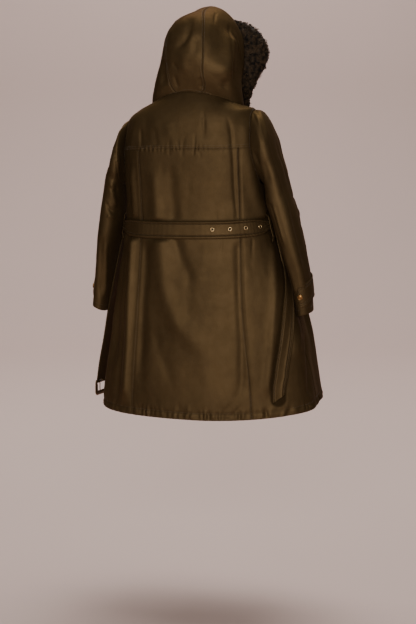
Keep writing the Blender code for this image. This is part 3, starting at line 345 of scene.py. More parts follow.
SLEEVE_CREASES = {
    "right": (
        Crease(
            ((1.07, 55), (4.73, 63), (6.55, 55), (8.25, 58.5), (10.3, 63.5), (11.2, 70)),
            0.0159, 0.0042, 0.1, 0.1, 0.2,
        ),
        Crease(((0.1, 24), (1.1, 58), (2.2, 76)), 0.0051, -0.002, 0.1, 0.4, 0.2),
        Crease(((0.6, 6), (2, 34), (3.2, 48)), 0.0066, 0.0026, 0.2, 0.4),
        Crease(((0.2, 12), (1.6, 48), (3, 64)), 0.004, -0.0016, 0.2, 0.4),
        Crease(((0.4, 92), (0.9, 116)), 0.0066, -0.0026, 0.3, 0.3),
        Crease(((2.4, 92), (3.8, 98), (5.2, 96)), 0.0116, -0.0036, 0.3, 0.4),
        Crease(((6.1, 110), (7.6, 110), (8.8, 106)), 0.005, -0.002, 0.2, 0.4, 0.2),
        Crease(((6.2, 100), (7.4, 101), (8.8, 99)), 0.0046, 0.0018, 0.2, 0.4),
        Crease(((6.6, 34), (8.4, 30), (10.2, 30)), 0.0174, -0.004, 0.3, 0.3),
        Crease(((5.6, 140), (6.4, 112), (6.6, 92)), 0.0066, -0.0026, 0.2, 0.5),
        Crease(((5.8, -60), (6.4, -20), (6.7, 10)), 0.0101, -0.0041, 0.3, 0.4, 0.2),
        Crease(((6.6, -80), (7.1, -40), (7.2, -8)), 0.0116, 0.0046, 0.3, 0.4),
        Crease(((7.4, -74), (7.7, -36), (7.6, -6)), 0.0066, -0.0026, 0.3, 0.4),
        Crease(((8.4, 120), (10.4, 112), (11.6, 108)), 0.0101, 0.003, 0.3, 0.2),
        Crease(((2, -30), (4, -46), (6, -52)), 0.0145, 0.0045, 0.3, 0.4),
        Crease(((8.6, -20), (10.4, -26), (11.8, -24)), 0.0116, -0.0036, 0.3, 0.2),
        Crease(((3.2, 10), (4.8, 4), (6.2, 8)), 0.0145, -0.003, 0.3, 0.4),
    ),
    "left": (
        Crease(((0.2, 132), (0.5, 120), (0.9, 108)), 0.0055, -0.0022, 0.1, 0.4, 0.2),
        Crease(((0.1, 108), (0.5, 96), (1.1, 84)), 0.0066, 0.0026, 0.1, 0.4),
        Crease(((4.5, 96), (5.1, 104), (5.85, 114), (6.6, 136)), 0.0101, 0.0054, 0.2, 0.2),
        Crease(((5.3, 88), (5.2, 112), (4.8, 140)), 0.0058, -0.0032, 0.3, 0.2, 0.2),
        Crease(((6.7, 84), (6.85, 118), (6.9, 158)), 0.0058, -0.0034, 0.3, 0.2, 0.2),
        Crease(((6.3, 78), (6.7, 98), (7, 126)), 0.0052, -0.0026, 0.3, 0.3),
        Crease(((7.15, 92), (7.2, 120), (7.3, 150)), 0.0062, 0.0036, 0.2, 0.3),
        Crease(((8.3, 106), (10, 125), (11.5, 141)), 0.0101, 0.0041, 0.2, 0.2),
        Crease(((8, 82), (9.8, 97), (11.5, 116)), 0.013, -0.005, 0.2, 0.2),
        Crease(((1.4, 88), (2.8, 94), (4.4, 98)), 0.015, 0.006, 0.3, 0.3),
        Crease(((1.2, 60), (3.2, 66), (5, 64)), 0.0145, 0.005, 0.3, 0.4),
        Crease(((5.8, -60), (6.3, -20), (6.5, 14)), 0.0101, -0.0041, 0.3, 0.4, 0.2),
        Crease(((6.6, -80), (7, -40), (7.1, -2)), 0.0116, 0.0046, 0.3, 0.4),
        Crease(((7.5, -74), (7.8, -36), (7.7, 0)), 0.0066, -0.0026, 0.3, 0.4),
        Crease(((2, -30), (4, -46), (6, -52)), 0.0145, 0.0045, 0.3, 0.4),
        Crease(((8.6, 20), (10.2, 14), (11.4, 18)), 0.0116, -0.0036, 0.3, 0.2),
        Crease(((0.3, 20), (1.6, 30), (3, 34)), 0.0066, -0.0026, 0.2, 0.5),
    ),
}
HOOD_CREASES = (
    Crease(((4.2, -12), (3.4, -24), (2.9, -33), (1.9, -40)), 0.0435, 0.017, 0.4, 0.5),
    Crease(((2.65, 18), (2.2, 21), (1.75, 26)), 0.0145, -0.0034, 0.3, 0.4),
    Crease(((3.4, 1.5), (2.4, 5), (1.85, -12)), 0.0116, -0.0046, 0.3, 0.3, 0.2),
    Crease(((1.45, -18), (1.25, -13), (1.08, -7)), 0.0051, -0.002, 0.2, 0.3),
    Crease(((1.9, 3.8), (0.8, 3.6)), 0.0159, 0.003, 0.3, 0.3),
    Crease(((4.3, 19), (3.7, 29.5)), 0.0037, -0.0015, 0.1, 0.4),
    Crease(((4.6, 44), (3.6, 58), (2.6, 64), (1.5, 68)), 0.03, 0.018, 0.2, 0.3),
    Crease(((4.7, 34), (3.85, 54.5), (3.3, 66.5), (2.85, 76)), 0.0062, -0.0032, 0.15, 0.2, 0.3),
    Crease(((4.75, 39), (4.85, 51.5), (5.3, 62)), 0.007, 0.0034, 0.2, 0.3),
    Crease(((5.6, 28), (5.85, 42), (5.85, 56), (5.3, 69)), 0.0062, -0.003, 0.1, 0.2),
    Crease(((2.2, 66), (1.3, 76)), 0.013, -0.0034, 0.4, 0.2),
    Crease(((4.7, -30), (3.9, -52), (3.3, -66), (2.85, -76)), 0.0066, -0.0026, 0.15, 0.2, -0.3),
    Crease(((4.9, -44), (4.9, -56), (5.3, -66)), 0.0066, 0.0026, 0.2, 0.3),
    Crease(((2.1, -36), (1.4, -48), (0.7, -62)), 0.018, -0.006, 0.2, 0.3),
    Crease(((0.9, -20), (0.45, -28)), 0.0066, -0.0026, 0.3, 0.2),
    Crease(((0.9, 30), (0.4, 38)), 0.0066, -0.0026, 0.3, 0.2),
)

# Gathers along a seam: how far apart, how high, and how far they reach from it.
Gather = namedtuple("Gather", "pitch height reach")
YOKE_GATHER = Gather(0.0100, 0.00120, 0.0090)
HEM_GATHER = Gather(0.0165, 0.00250, 0.0200)
PRINCESS_GATHER = Gather(0.0170, 0.00035, 0.0060)
CAP_GATHER = Gather(0.0120, 0.00050, 0.0100)

SEAM_WIDTH, SEAM_DEPTH = 0.0024, 0.0011
HEM_FOLD = 0.026  # the hem is stitched this far above its edge


# ---------------------------------------------------------------- surfaces


def through(at, row, last):
    """The smooth curve through a table's rows at fractional rows. at(number) gives the rows themselves."""
    row = np.clip(row, 0.0, float(last))
    first = np.minimum(row.astype(int), last - 1)
    part = (row - first)[..., None]
    return (
        at(np.maximum(first - 1, 0)) * (((2.0 - part) * part - 1.0) * part / 2.0)
        + at(first) * (((3.0 * part - 5.0) * part * part + 2.0) / 2.0)
        + at(first + 1) * (((4.0 - 3.0 * part) * part + 1.0) * part / 2.0)
        + at(np.minimum(first + 2, last)) * ((part - 1.0) * part * part / 2.0)
    )


def smooth(table, row):
    """A smooth curve through a table's rows. The result gains one axis of columns."""
    values = np.asarray(table, float)
    return through(lambda number: values[number], row, len(values) - 1)


def smooth_by_key(table, key):
    """The same curve for a table whose first column rises and is not its row number."""
    keys = [row[0] for row in table]
    return smooth(table, np.interp(key, keys, np.arange(float(len(keys)))))


def signed_power(value, power):
    return np.sign(value) * np.abs(value) ** power


def rise(value, start, end):
    """0 before start, 1 after end, and an even S between them."""
    part = np.clip((value - start) / (end - start), 0.0, 1.0)
    return part * part * (3.0 - 2.0 * part)


def bell(away, width):
    """1 where away is 0, fading evenly on both sides."""
    return np.exp(-((away / width) ** 2))


def unit(vectors):
    return vectors / np.maximum(np.linalg.norm(vectors, axis=-1, keepdims=True), 1e-12)


def pair(first, second):
    """Two numbers or arrays as float arrays of one shape."""
    first, second = np.broadcast_arrays(np.asarray(first, float), np.asarray(second, float))
    return first.copy(), second.copy()


def body_point(row, angle):
    """The coat's outer surface. Angle 0 is the centre back, 90 the right side, 180 the centre front."""
    row, angle = pair(row, angle)
    section = Section(*np.moveaxis(smooth(BODY, row), -1, 0))
    across, along = np.sin(np.radians(angle)), np.cos(np.radians(angle))
    half_x = np.where(across >= 0.0, section.right, section.left)
    half_y = np.where(along >= 0.0, section.back, section.front)
    power = 2.0 / section.square
    z_side = np.where(across >= 0.0, section.z_right, section.z_left)
    z_end = np.where(along >= 0.0, section.z_back, section.z_front)
    x = half_x * signed_power(across, power)
    y = -half_y * signed_power(along, power)
    z = z_side + (z_end - z_side) * along * along
    out = unit(np.stack([x / half_x**2, y / half_y**2, 0.0 * x], -1))
    grown = 0.0 * x
    for fold in FOLDS:
        away = (angle - fold.angle + 180.0) % 360.0 - 180.0
        depth = fold.depth + (fold.hem - fold.depth) * rise(row, fold.full, HEM_ROW)
        grown += depth * rise(row, fold.top, fold.full) * bell(away, fold.width)
    return np.stack([x, y, z], -1) + out * grown[..., None]


def armhole_edge(side, turn):
    """Row and body angle of an armhole's edge: turn 0 is its top, 90 its back, 270 its front."""
    cut = ARMHOLES[side]
    height, reach = np.cos(np.radians(turn)), np.sin(np.radians(turn))
    row = YOKE_ROW - (YOKE_ROW - ARMHOLE_TOP) * height
    angle = 90.0 - np.where(reach >= 0.0, cut.back, cut.front) * reach
    return row, angle if side == "right" else -angle


def push_clear(points, clearance):
    """Moves points of a sleeve sideways until they are clear of the coat's side."""
    rows = np.arange(UNDERARM, HEM_ROW, 0.05)
    heights = smooth([(section.z_left,) for section in BODY], rows)[:, 0]
    section = Section(*np.moveaxis(smooth(BODY, np.interp(-points[..., 2], -heights, rows)), -1, 0))
    x, y, z = np.moveaxis(points, -1, 0)
    half_x = np.where(x > 0.0, section.right, section.left) + clearance
    half_y = np.where(y < 0.0, section.back, section.front) + clearance
    share = np.minimum(np.abs(y) / half_y, 1.0)
    side = half_x * (1.0 - share**section.square) ** (1.0 / section.square)
    low = (z <= BODY[int(UNDERARM)].z_left + 0.03) & (np.abs(y) < half_y)
    return np.stack([np.where(low, np.sign(x) * np.maximum(np.abs(x), side), x), y, z], -1)


def sleeve_rings(side, turn):
    """The sleeve's rings, each at the same turns: the first lies on the armhole's edge."""
    rings = [on_surface(body_point, *armhole_edge(side, turn), ARMHOLE_STAND)]
    height = signed_power(np.cos(np.radians(turn)), 2.0 / SLEEVE_SQUARE)[..., None]
    reach = signed_power(np.sin(np.radians(turn)), 2.0 / SLEEVE_SQUARE)
    for cuff in SLEEVES[side]:
        sign = 1.0 if side == "right" else -1.0
        outer = np.array([sign * cuff.out_x, 0.0, cuff.out_z])
        inner = np.array([sign * cuff.in_x, 0.0, cuff.in_z])
        middle = (outer + inner) / 2.0
        points = middle + (outer - middle) * height
        points[..., 1] -= np.where(reach >= 0.0, cuff.back, cuff.front) * reach
        rings.append(push_clear(points, SLEEVE_CLEARANCE))
    return np.array(rings)


def sleeve_point(side, ring, turn):
    """A sleeve's outer surface. Turn 0 is its outer side, 90 its back."""
    ring, turn = pair(ring, turn)
    rings = sleeve_rings(side, turn)
    spot = np.indices(ring.shape)
    return through(lambda number: rings[(number, *spot)], ring, len(rings) - 1)


def right_sleeve_point(ring, turn):
    return sleeve_point("right", ring, turn)


def left_sleeve_point(ring, turn):
    return sleeve_point("left", ring, turn)


def hood_point(row, lean):
    """The hood's outer surface. Row runs from nape to face opening, lean from -90 (left) to 90 (right)."""
    row, lean = pair(row, lean)
    rib = Rib(*np.moveaxis(smooth(HOOD, row), -1, 0))
    foot = body_point(0.0, np.where(lean >= 0.0, rib.base, -rib.base))
    middle = np.stack([0.0 * row, foot[..., 1], foot[..., 2] + NECK_STAND], -1)
    crown = np.stack([0.0 * row, rib.y_top, rib.z_top], -1)
    power = 2.0 / HOOD_SQUARE
    across = signed_power(np.sin(np.radians(lean)), power)
    up = signed_power(np.cos(np.radians(lean)), power)
    point = middle + (crown - middle) * up[..., None]
    point[..., 0] += (np.abs(foot[..., 0]) + rib.bulge * up) * across
    neckline = body_point(0.0, rib.base * lean / 90.0) + (0.0, 0.0, NECK_STAND)
    point = neckline + (point - neckline) * rise(row, 0.0, NAPE_ROWS)[..., None]
    x, y, z = np.moveaxis(point, -1, 0)
    grown = rise(z, -0.03, 0.10)
    turn = -grown * math.radians(HOOD_TURN)
    shift = grown * HOOD_SHIFT + rise(z, 0.08, 0.26) * HOOD_TILT
    return np.stack([x * np.cos(turn) - y * np.sin(turn) + shift, x * np.sin(turn) + y * np.cos(turn), z], -1)


# For each surface: the steps that measure its slope, its lowest and highest row, and its normal's sign.
Slope = namedtuple("Slope", "step turn low high sign")
SLOPES = {
    body_point: Slope(0.02, 0.5, 0.0, HEM_ROW, 1.0),
    right_sleeve_point: Slope(0.05, 2.0, 0.0, CUFF_ROW, -1.0),
    left_sleeve_point: Slope(0.05, 2.0, 0.0, CUFF_ROW, 1.0),
    hood_point: Slope(0.05, 1.0, 0.0, FACE_ROW, -1.0),
}


def slopes(surface, row, angle):
    """How far a surface moves for one row and for one degree."""
    row, angle = pair(row, angle)
    slope = SLOPES[surface]
    low = np.clip(row - slope.step, slope.low, slope.high)
    high = np.clip(row + slope.step, slope.low, slope.high)
    down = (surface(high, angle) - surface(low, angle)) / (high - low)[..., None]
    around = (surface(row, angle + slope.turn) - surface(row, angle - slope.turn)) / (2.0 * slope.turn)
    return down, around


def normal(surface, row, angle):
    down, around = slopes(surface, row, angle)
    return unit(np.cross(down, around)) * SLOPES[surface].sign


def on_surface(surface, row, angle, lift=0.0):
    row, angle = pair(row, angle)
    return surface(row, angle) + normal(surface, row, angle) * np.asarray(lift)[..., None]


def row_length(surface, row, angle):
    """Metres for one row."""
    return np.linalg.norm(slopes(surface, row, angle)[0], axis=-1)


def degree_length(surface, row, angle):
    """Metres for one degree."""
    return np.linalg.norm(slopes(surface, row, angle)[1], axis=-1)


def armhole_angle(side, row, facing):
    """The body angle of the armhole's back (facing 1) or front (-1) edge, or of the side seam below it."""
    height = np.clip((YOKE_ROW - row) / (YOKE_ROW - ARMHOLE_TOP), -1.0, 1.0)
    return armhole_edge(side, np.degrees(np.arccos(height)) * facing)[1]


def princess_angle(side, row):
    """The body angle of a princess seam, from its distance to the coat's middle."""
    row = np.asarray(row, float)
    line = Princess(*np.moveaxis(smooth_by_key(PRINCESS, row), -1, 0))
    section = Section(*np.moveaxis(smooth(BODY, row), -1, 0))
    offset, half = (line.left, section.left) if side == "left" else (line.right, section.right)
    angle = np.degrees(np.arcsin((offset / half) ** (section.square / 2.0)))
    return -angle if side == "left" else angle


def gusset_lean(side, row):
    """The lean of the gusset's seam on one side."""
    rib = Rib(*np.moveaxis(smooth(HOOD, np.asarray(row, float)), -1, 0))
    return -rib.gusset_left if side == "left" else rib.gusset_right


# ---------------------------------------------------------------- relief


def line_on(surface, row, angle):
    """Points of a line on a surface, and the surface's normals along it."""
    return surface(row, angle), normal(surface, row, angle)


def path_on(surface, places, steps=8):
    """A smooth line through (row, angle) places, and the surface's normals along it."""
    numbers = np.linspace(0.0, len(places) - 1.0, steps * (len(places) - 1) + 1)
    return line_on(surface, *np.moveaxis(smooth(places, numbers), -1, 0))


def nearest(points, line, out):
    """For each point: its share along a line, its signed distance aside of it, and its distance."""
    start, leg = line[:-1], np.diff(line, axis=0)
    size = np.maximum((leg**2).sum(-1), 1e-12)
    offset = points[:, None, :] - start[None]
    part = np.clip((offset * leg).sum(-1) / size, 0.0, 1.0)
    away = offset - part[..., None] * leg
    far = np.linalg.norm(away, axis=-1)
    best = far.argmin(1)
    every = np.arange(len(points))
    lengths = np.sqrt(size)
    reached = np.concatenate([[0.0], np.cumsum(lengths)])
    along = (reached[best] + part[every, best] * lengths[best]) / reached[-1]
    side = np.cross(out[best], leg[best])
    aside = np.sign((away[every, best] * side).sum(-1))
    return along, aside, far[every, best]


def near_box(points, line, reach):
    return np.all((points > line.min(0) - reach) & (points < line.max(0) + reach), axis=-1)


def crease_lift(surface, creases, points, strength):
    """How far the creases lift each point of a surface."""
    lift = np.zeros(len(points))
    for crease in creases:
        line, out = path_on(surface, crease.path)
        close = np.flatnonzero(near_box(points, line, 4.0 * crease.width))
        if not len(close):
            continue
        along, aside, far = nearest(points[close], line, out)
        shape = bell(far, crease.width * (1.0 - crease.lean * aside))
        if crease.head > 0.0:
            shape *= rise(along, 0.0, crease.head)
        if crease.foot > 0.0:
            shape *= rise(1.0 - along, 0.0, crease.foot)
        lift[close] += strength * crease.depth * shape
    return lift


def clear_of(points, line, out, half, soft):
    """0 within half of a line and 1 from soft beyond that."""
    share = np.ones(len(points))
    close = np.flatnonzero(near_box(points, line, half + soft))
    if len(close):
        share[close] = rise(nearest(points[close], line, out)[2], half, half + soft)
    return share


def ripple(points, across, upright, seed):
    """Even noise between about -1 and 1 over the points, with its own size across and upright."""
    shift = Vector((seed * 7.3, seed * 3.1, seed * 5.7))
    spread = [(x / across, y / across, z / upright) for x, y, z in points]
    return np.array([noise.noise(Vector(spot) + shift) for spot in spread])


def waviness(points, strength, layers):
    """Layers of noise: rows of height, size across, size upright and seed."""
    return sum(height * strength * ripple(points, *layer) for height, *layer in layers)


def gather_lift(gather, along, away, points, seed):
    """Small uneven gathers along a seam, fading with the distance from it."""
    uneven = ripple(points, 0.030, 0.030, seed)
    wave = np.cos(math.tau * along / gather.pitch + 2.6 * uneven)
    return gather.height * wave * np.maximum(0.15, 0.5 + 1.2 * uneven) * bell(away, gather.reach)


def seam_dip(away):
    """A seam's groove and the low rolls beside it, from the distance to the seam."""
    away = np.abs(away)
    roll = 0.45 * bell(away - 0.0052, 0.0026)
    return SEAM_DEPTH * (roll - bell(away, SEAM_WIDTH))


# Painted shade beside a seam: 1 on it, fading with the distance.
def painted_seam_shade(away, reach=0.0040):
    return bell(away, reach)


def raised(surface, relief, row, angle, extra=0.0):
    """Points on the finished cloth, which way it faces there, and its painted shade, darkest near seams."""
    row, angle = pair(row, angle)
    base, out = surface(row, angle), normal(surface, row, angle)
    lift, painted_shade = relief(row.ravel(), angle.ravel(), base.reshape(-1, 3))
    return base + out * (lift.reshape(row.shape) + extra)[..., None], out, painted_shade.reshape(row.shape)


# ---------------------------------------------------------------- meshes and finishes


def even_steps(length, edge, middle):
    """Places from 0 to length, close together at both ends and middle apart between. Their number is odd."""
    places = [0.0]
    step = edge
    while places[-1] + step < length * 0.25 and step < middle:
        places.append(places[-1] + step)
        step *= 1.5
    count = max(2, 2 * math.ceil((length - 2.0 * places[-1]) / middle / 2.0))
    inner = np.linspace(places[-1], length - places[-1], count + 1)
    return np.concatenate([places[:-1], inner, length - np.array(places[:-1][::-1])])


def rows_by_length(surface, angle, start, end, edge, middle):
    """Rows down a surface whose distance apart is even in metres."""
    fine = np.linspace(start, end, 400)
    line = surface(fine, np.full(400, float(angle)))
    reached = np.concatenate([[0.0], np.cumsum(np.linalg.norm(np.diff(line, axis=0), axis=-1))])
    return np.interp(even_steps(reached[-1], edge, middle), reached, fine)


def grid_faces(rows, columns, first=0, closed=False):
    """The quads of a grid of points that are numbered row by row."""
    spans = columns if closed else columns - 1
    row, column = np.meshgrid(np.arange(rows - 1) * columns, np.arange(spans), indexing="ij")
    beside = (column + 1) % columns
    low = row + columns
    return first + np.stack([row + column, row + beside, low + beside, low + column], -1).reshape(-1, 4)


def grid_lengths(points):
    """Each grid point's distance along its row and down its column, for the weave."""
    across = np.linalg.norm(np.diff(points, axis=1), axis=-1)
    down = np.linalg.norm(np.diff(points, axis=0), axis=-1)
    middle = across.shape[0] // 2
    u = np.concatenate([[0.0], np.cumsum(across[middle])])
    v = np.concatenate([[0.0], np.cumsum(down[:, down.shape[1] // 2])])
    return np.stack(np.meshgrid(u, v, indexing="xy"), -1)


def make_mesh(name, points, faces, uv=None, seam=None, outward=True):
    """A mesh whose faces point outwards. uv and seam have one value for each point; seam is the painted shade
    that darkens the satin.
    """
    mesh = bpy.data.meshes.new(name)
    mesh.from_pydata([tuple(point) for point in points], [], [tuple(face) for face in faces])
    if uv is not None:
        layer = mesh.uv_layers.new(name="weave")
        corners = np.zeros(len(mesh.loops), dtype=np.int32)
        mesh.loops.foreach_get("vertex_index", corners)
        layer.data.foreach_set("uv", np.ascontiguousarray(uv[corners], dtype=np.float32).ravel())
    if seam is not None:
        painted_shade = mesh.attributes.new("seam", "FLOAT", "POINT")
        painted_shade.data.foreach_set("value", np.ascontiguousarray(seam, dtype=np.float32))
    if outward:
        shape = bmesh.new()
        shape.from_mesh(mesh)
        bmesh.ops.recalc_face_normals(shape, faces=shape.faces)
        shape.to_mesh(mesh)
        shape.free()
    mesh.shade_smooth()
    mesh.set_sharp_from_angle(angle=math.radians(60.0))
    return mesh


def evaluated_mesh(source, **options):
    """The mesh of an object with its modifiers done."""
    graph = bpy.context.evaluated_depsgraph_get()
    return bpy.data.meshes.new_from_object(source.evaluated_get(graph), depsgraph=graph, **options)


def remove_piece(name):
    """Takes away a piece that an operator made before, so that it can be made again."""
    old = bpy.data.objects.get(name)
    if old:
        bpy.data.objects.remove(old, do_unlink=True)


def add_piece(name, mesh, finish, body, stands_for):
    """A finished piece, riding on its body and standing for the nodes that it dresses."""
    remove_piece(name)
    mesh.name = name
    mesh.materials.clear()
    mesh.materials.append(finish)
    piece = bpy.data.objects.new(name, mesh)
    bpy.context.scene.collection.objects.link(piece)
    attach(piece, body)
    if stands_for:
        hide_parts(*stands_for)
    return piece


def add_satin(name, mesh, node):
    """A piece of the coat's own cloth."""
    return add_piece(name, mesh, finish_for("coat_satin"), "coat", [node])


def cloth_wall(outer, out, thickness, uv, seam, closed=False):
    """The points and faces of a cloth wall: a fine outer skin, and an inner one with every second point."""
    rows, columns = outer.shape[:2]
    inner = (outer - out * thickness)[::2, ::2]
    low_rows, low_columns = inner.shape[:2]
    base = rows * columns
    faces = grid_faces(rows, columns, 0, closed).tolist()
    faces += grid_faces(low_rows, low_columns, base, closed)[:, ::-1].tolist()
    spans = low_columns if closed else low_columns - 1
    for row, low in ((0, 0), (rows - 1, low_rows - 1)):
        for span in range(spans):
            edge = [row * columns + (2 * span + step) % columns for step in (0, 1, 2)]
            beside = (span + 1) % low_columns
            faces.append([*edge, base + low * low_columns + beside, base + low * low_columns + span])
    if not closed:
        for column, low in ((0, 0), (columns - 1, low_columns - 1)):
            for span in range(low_rows - 1):
                edge = [(2 * span + step) * columns + column for step in (0, 1, 2)]
                faces.append(
                    [*edge, base + (span + 1) * low_columns + low, base + span * low_columns + low]
                )
    points = np.concatenate([outer.reshape(-1, 3), inner.reshape(-1, 3)])
    uv = np.concatenate([uv.reshape(-1, 2), uv[::2, ::2].reshape(-1, 2)])
    # The painted shade is kept for the inner skin's points as well.
    seam = np.concatenate([seam.reshape(-1), seam[::2, ::2].reshape(-1)])
    return points, faces, uv, seam


def hang_cloth(node, outer, out, painted_shade, share=1.0, closed=False):
    """A cloth wall behind the points of its outer face, as the piece that stands for a node."""
    thick = bpy.context.scene.raincoat_sizes.cloth * share
    mesh = make_mesh(node, *cloth_wall(outer, out, thick, grid_lengths(outer), painted_shade, closed))
    return add_satin("cloth_" + node, mesh, node)


def loft(rings, cap=True):
    """The points and faces of a tube through closed rings, with a fan at each end."""
    rings = np.asarray(rings, float)
    count, around = rings.shape[:2]
    faces = grid_faces(count, around, 0, True).tolist()
    points = rings.reshape(-1, 3)
    if cap:
        points = np.concatenate([points, rings[0].mean(0)[None], rings[-1].mean(0)[None]])
        for number in range(around):
            beside = (number + 1) % around
            faces.append([beside, number, count * around])
            last = (count - 1) * around
            faces.append([last + number, last + beside, count * around + 1])
    return points, faces


def turned(profile, place, out, steps=40):
    """A turned piece: profile is pairs of radius and height, closed on the axis or into a ring."""
    spin = np.linspace(0.0, math.tau, steps, endpoint=False)
    rotation = Vector(out).to_track_quat("Z", "Y").to_matrix()
    rings = []
    for radius, height in profile:
        rings.append([[radius * math.cos(turn), radius * math.sin(turn), height] for turn in spin])
    points, faces = loft(rings, cap=profile[0] != profile[-1])
    return points @ np.array(rotation).T + np.array(place), faces


def joined(parts):
    """Several (points, faces) as one."""
    points, faces, count = [], [], 0
    for some, more in parts:
        points.append(some)
        faces += [[number + count for number in face] for face in more]
        count += len(some)
    return np.concatenate(points), faces


def tube(line, radius, closed=False, around=12, bend=None):
    """A round wire along a line of points. bend is a direction that its rings keep to."""
    line = np.asarray(line, float)
    if closed:
        ahead = unit(np.roll(line, -1, 0) - np.roll(line, 1, 0))
    else:
        ahead = unit(np.gradient(line, axis=0))
    side = unit(np.cross(ahead, np.asarray(bend, float)))
    up = np.cross(side, ahead)
    spin = np.linspace(0.0, math.tau, around, endpoint=False)
    radius = np.broadcast_to(np.asarray(radius, float), (len(line),))
    rings = line[:, None] + radius[:, None, None] * (
        np.cos(spin)[None, :, None] * side[:, None] + np.sin(spin)[None, :, None] * up[:, None]
    )
    if closed:
        rings = np.concatenate([rings, rings[:1]])
        points, faces = loft(rings, cap=False)
        count = (len(rings) - 1) * around
        faces = [[number % count for number in face] for face in faces]
        return points[:count], faces
    return loft(rings)


# ---------------------------------------------------------------- finishes


WEAVE_PITCH = 0.0009


def put(tree, socket, value):
    """Sets a socket's value, or links another node's socket to it."""
    if isinstance(value, bpy.types.NodeSocket):
        tree.links.new(value, socket)
    else:
        socket.default_value = value


def add_node(tree, kind, inputs=None, **settings):
    """A node with its settings, and with its inputs by label or number."""
    node = tree.nodes.new(kind)
    for label, value in settings.items():
        setattr(node, label, value)
    for label, value in (inputs or {}).items():
        put(tree, node.inputs[label], value)
    return node


def new_finish(name):
    """A new material with its shader, and its tree."""
    old = bpy.data.materials.get(name)
    if old:
        bpy.data.materials.remove(old)
    finish = bpy.data.materials.new(name)
    finish.use_nodes = True
    return finish, finish.node_tree


def shaded(finish, inputs):
    """The material, with inputs of its shader set or linked."""
    tree = finish.node_tree
    for label, value in inputs.items():
        put(tree, tree.nodes["Principled BSDF"].inputs[label], value)
    return finish


def shade(colour, share):
    return tuple(min(1.0, share * value) for value in colour)


def noise_at(tree, scale, detail=3.0):
    """A noise on the coat's own coordinates."""
    place = add_node(tree, "ShaderNodeTexCoord").outputs["Object"]
    inputs = {"Vector": place, "Scale": scale, "Detail": detail}
    return add_node(tree, "ShaderNodeTexNoise", inputs).outputs["Fac"]


def ranged(tree, source, low, high, new_low=0.0, new_high=1.0):
    inputs = {"Value": source, "From Min": low, "From Max": high, "To Min": new_low, "To Max": new_high}
    return add_node(tree, "ShaderNodeMapRange", inputs).outputs["Result"]


def cloudy(tree, scale, low=0.0, high=1.0, detail=3.0):
    """A soft noise that runs from low to high."""
    return ranged(tree, noise_at(tree, scale, detail), 0.3, 0.7, low, high)


def mixed(tree, first, second, share):
    """A mix of two colours, each a socket or a value."""
    first, second = (
        colour if isinstance(colour, bpy.types.NodeSocket) else (*colour, 1.0) for colour in (first, second)
    )
    return add_node(tree, "ShaderNodeMix", {0: share, 6: first, 7: second}, data_type="RGBA").outputs[2]


def worked(tree, first, second, operation="MULTIPLY"):
    return add_node(tree, "ShaderNodeMath", {0: first, 1: second}, operation=operation).outputs[0]


def bumped(tree, height, strength, distance, below=None):
    inputs = {"Height": height, "Strength": strength, "Distance": distance}
    if below is not None:
        inputs["Normal"] = below
    return add_node(tree, "ShaderNodeBump", inputs).outputs["Normal"]


def weave(tree, pitch):
    """A satin weave's fine diagonal floats, on the cloth's own map in metres."""
    flat = add_node(tree, "ShaderNodeUVMap", uv_map="weave").outputs["UV"]
    inputs = {"Vector": flat, "Rotation": (0.0, 0.0, math.radians(27.0))}
    turned_map = add_node(tree, "ShaderNodeMapping", inputs).outputs["Vector"]
    inputs = {"Vector": turned_map, "Scale": 0.314 / pitch, "Distortion": 1.2, "Detail": 1.0}
    across, down = (
        add_node(tree, "ShaderNodeTexWave", inputs, bands_direction=axis).outputs["Fac"] for axis in "XY"
    )
    return worked(tree, across, worked(tree, down, 0.45), "ADD")


def satin_finish(name, colours):
    """The coat's satin: a dark warm ground, a tinted gloss, a fine weave, duller seams, and painted shade
    that darkens seams, grooves and the cloth under the belt.
    """
    finish, tree = new_finish(name)
    ground = tuple(colours.satin)
    # The seam attribute holds painted shade: it darkens the cloth at seams, stitched grooves, tucks and under
    # the belt, and also dulls it.
    seam = add_node(tree, "ShaderNodeAttribute", attribute_name="seam").outputs["Fac"]
    cloth = mixed(tree, shade(ground, 0.84), shade(ground, 1.16), cloudy(tree, 5.0))
    cloth = mixed(tree, cloth, colours.satin_glow, worked(tree, cloudy(tree, 60.0, detail=4.0), 0.16))
    grain = bumped(tree, weave(tree, WEAVE_PITCH), 0.35, 0.00008)
    return shaded(
        finish,
        {
            # Painted shade: the colour is pulled towards a darker ground by the seam attribute.
            "Base Color": mixed(tree, cloth, shade(ground, 0.45), worked(tree, seam, 0.30)),
            "Roughness": worked(tree, cloudy(tree, 24.0, 0.56, 0.62), worked(tree, seam, 0.10), "ADD"),
            "Metallic": 0.75,
            "Specular IOR Level": 0.20,
            "Specular Tint": (0.29, 0.19, 0.09, 1.0),
            "Sheen Weight": 0.03,
            "Sheen Roughness": 0.40,
            "Sheen Tint": (0.45, 0.30, 0.16, 1.0),
            "Normal": bumped(tree, noise_at(tree, 45.0), 0.30, 0.0020, grain),
        },
    )


def thread_finish(name, colours):
    """Topstitching thread, a little lighter than the cloth, with its twist."""
    finish, tree = new_finish(name)
    return shaded(
        finish,
        {
            "Base Color": mixed(tree, shade(colours.thread, 0.75), colours.thread, cloudy(tree, 180.0)),
            "Roughness": 0.55,
            "Sheen Weight": 0.2,
            "Normal": bumped(tree, noise_at(tree, 2400.0), 0.5, 0.0002),
        },
    )


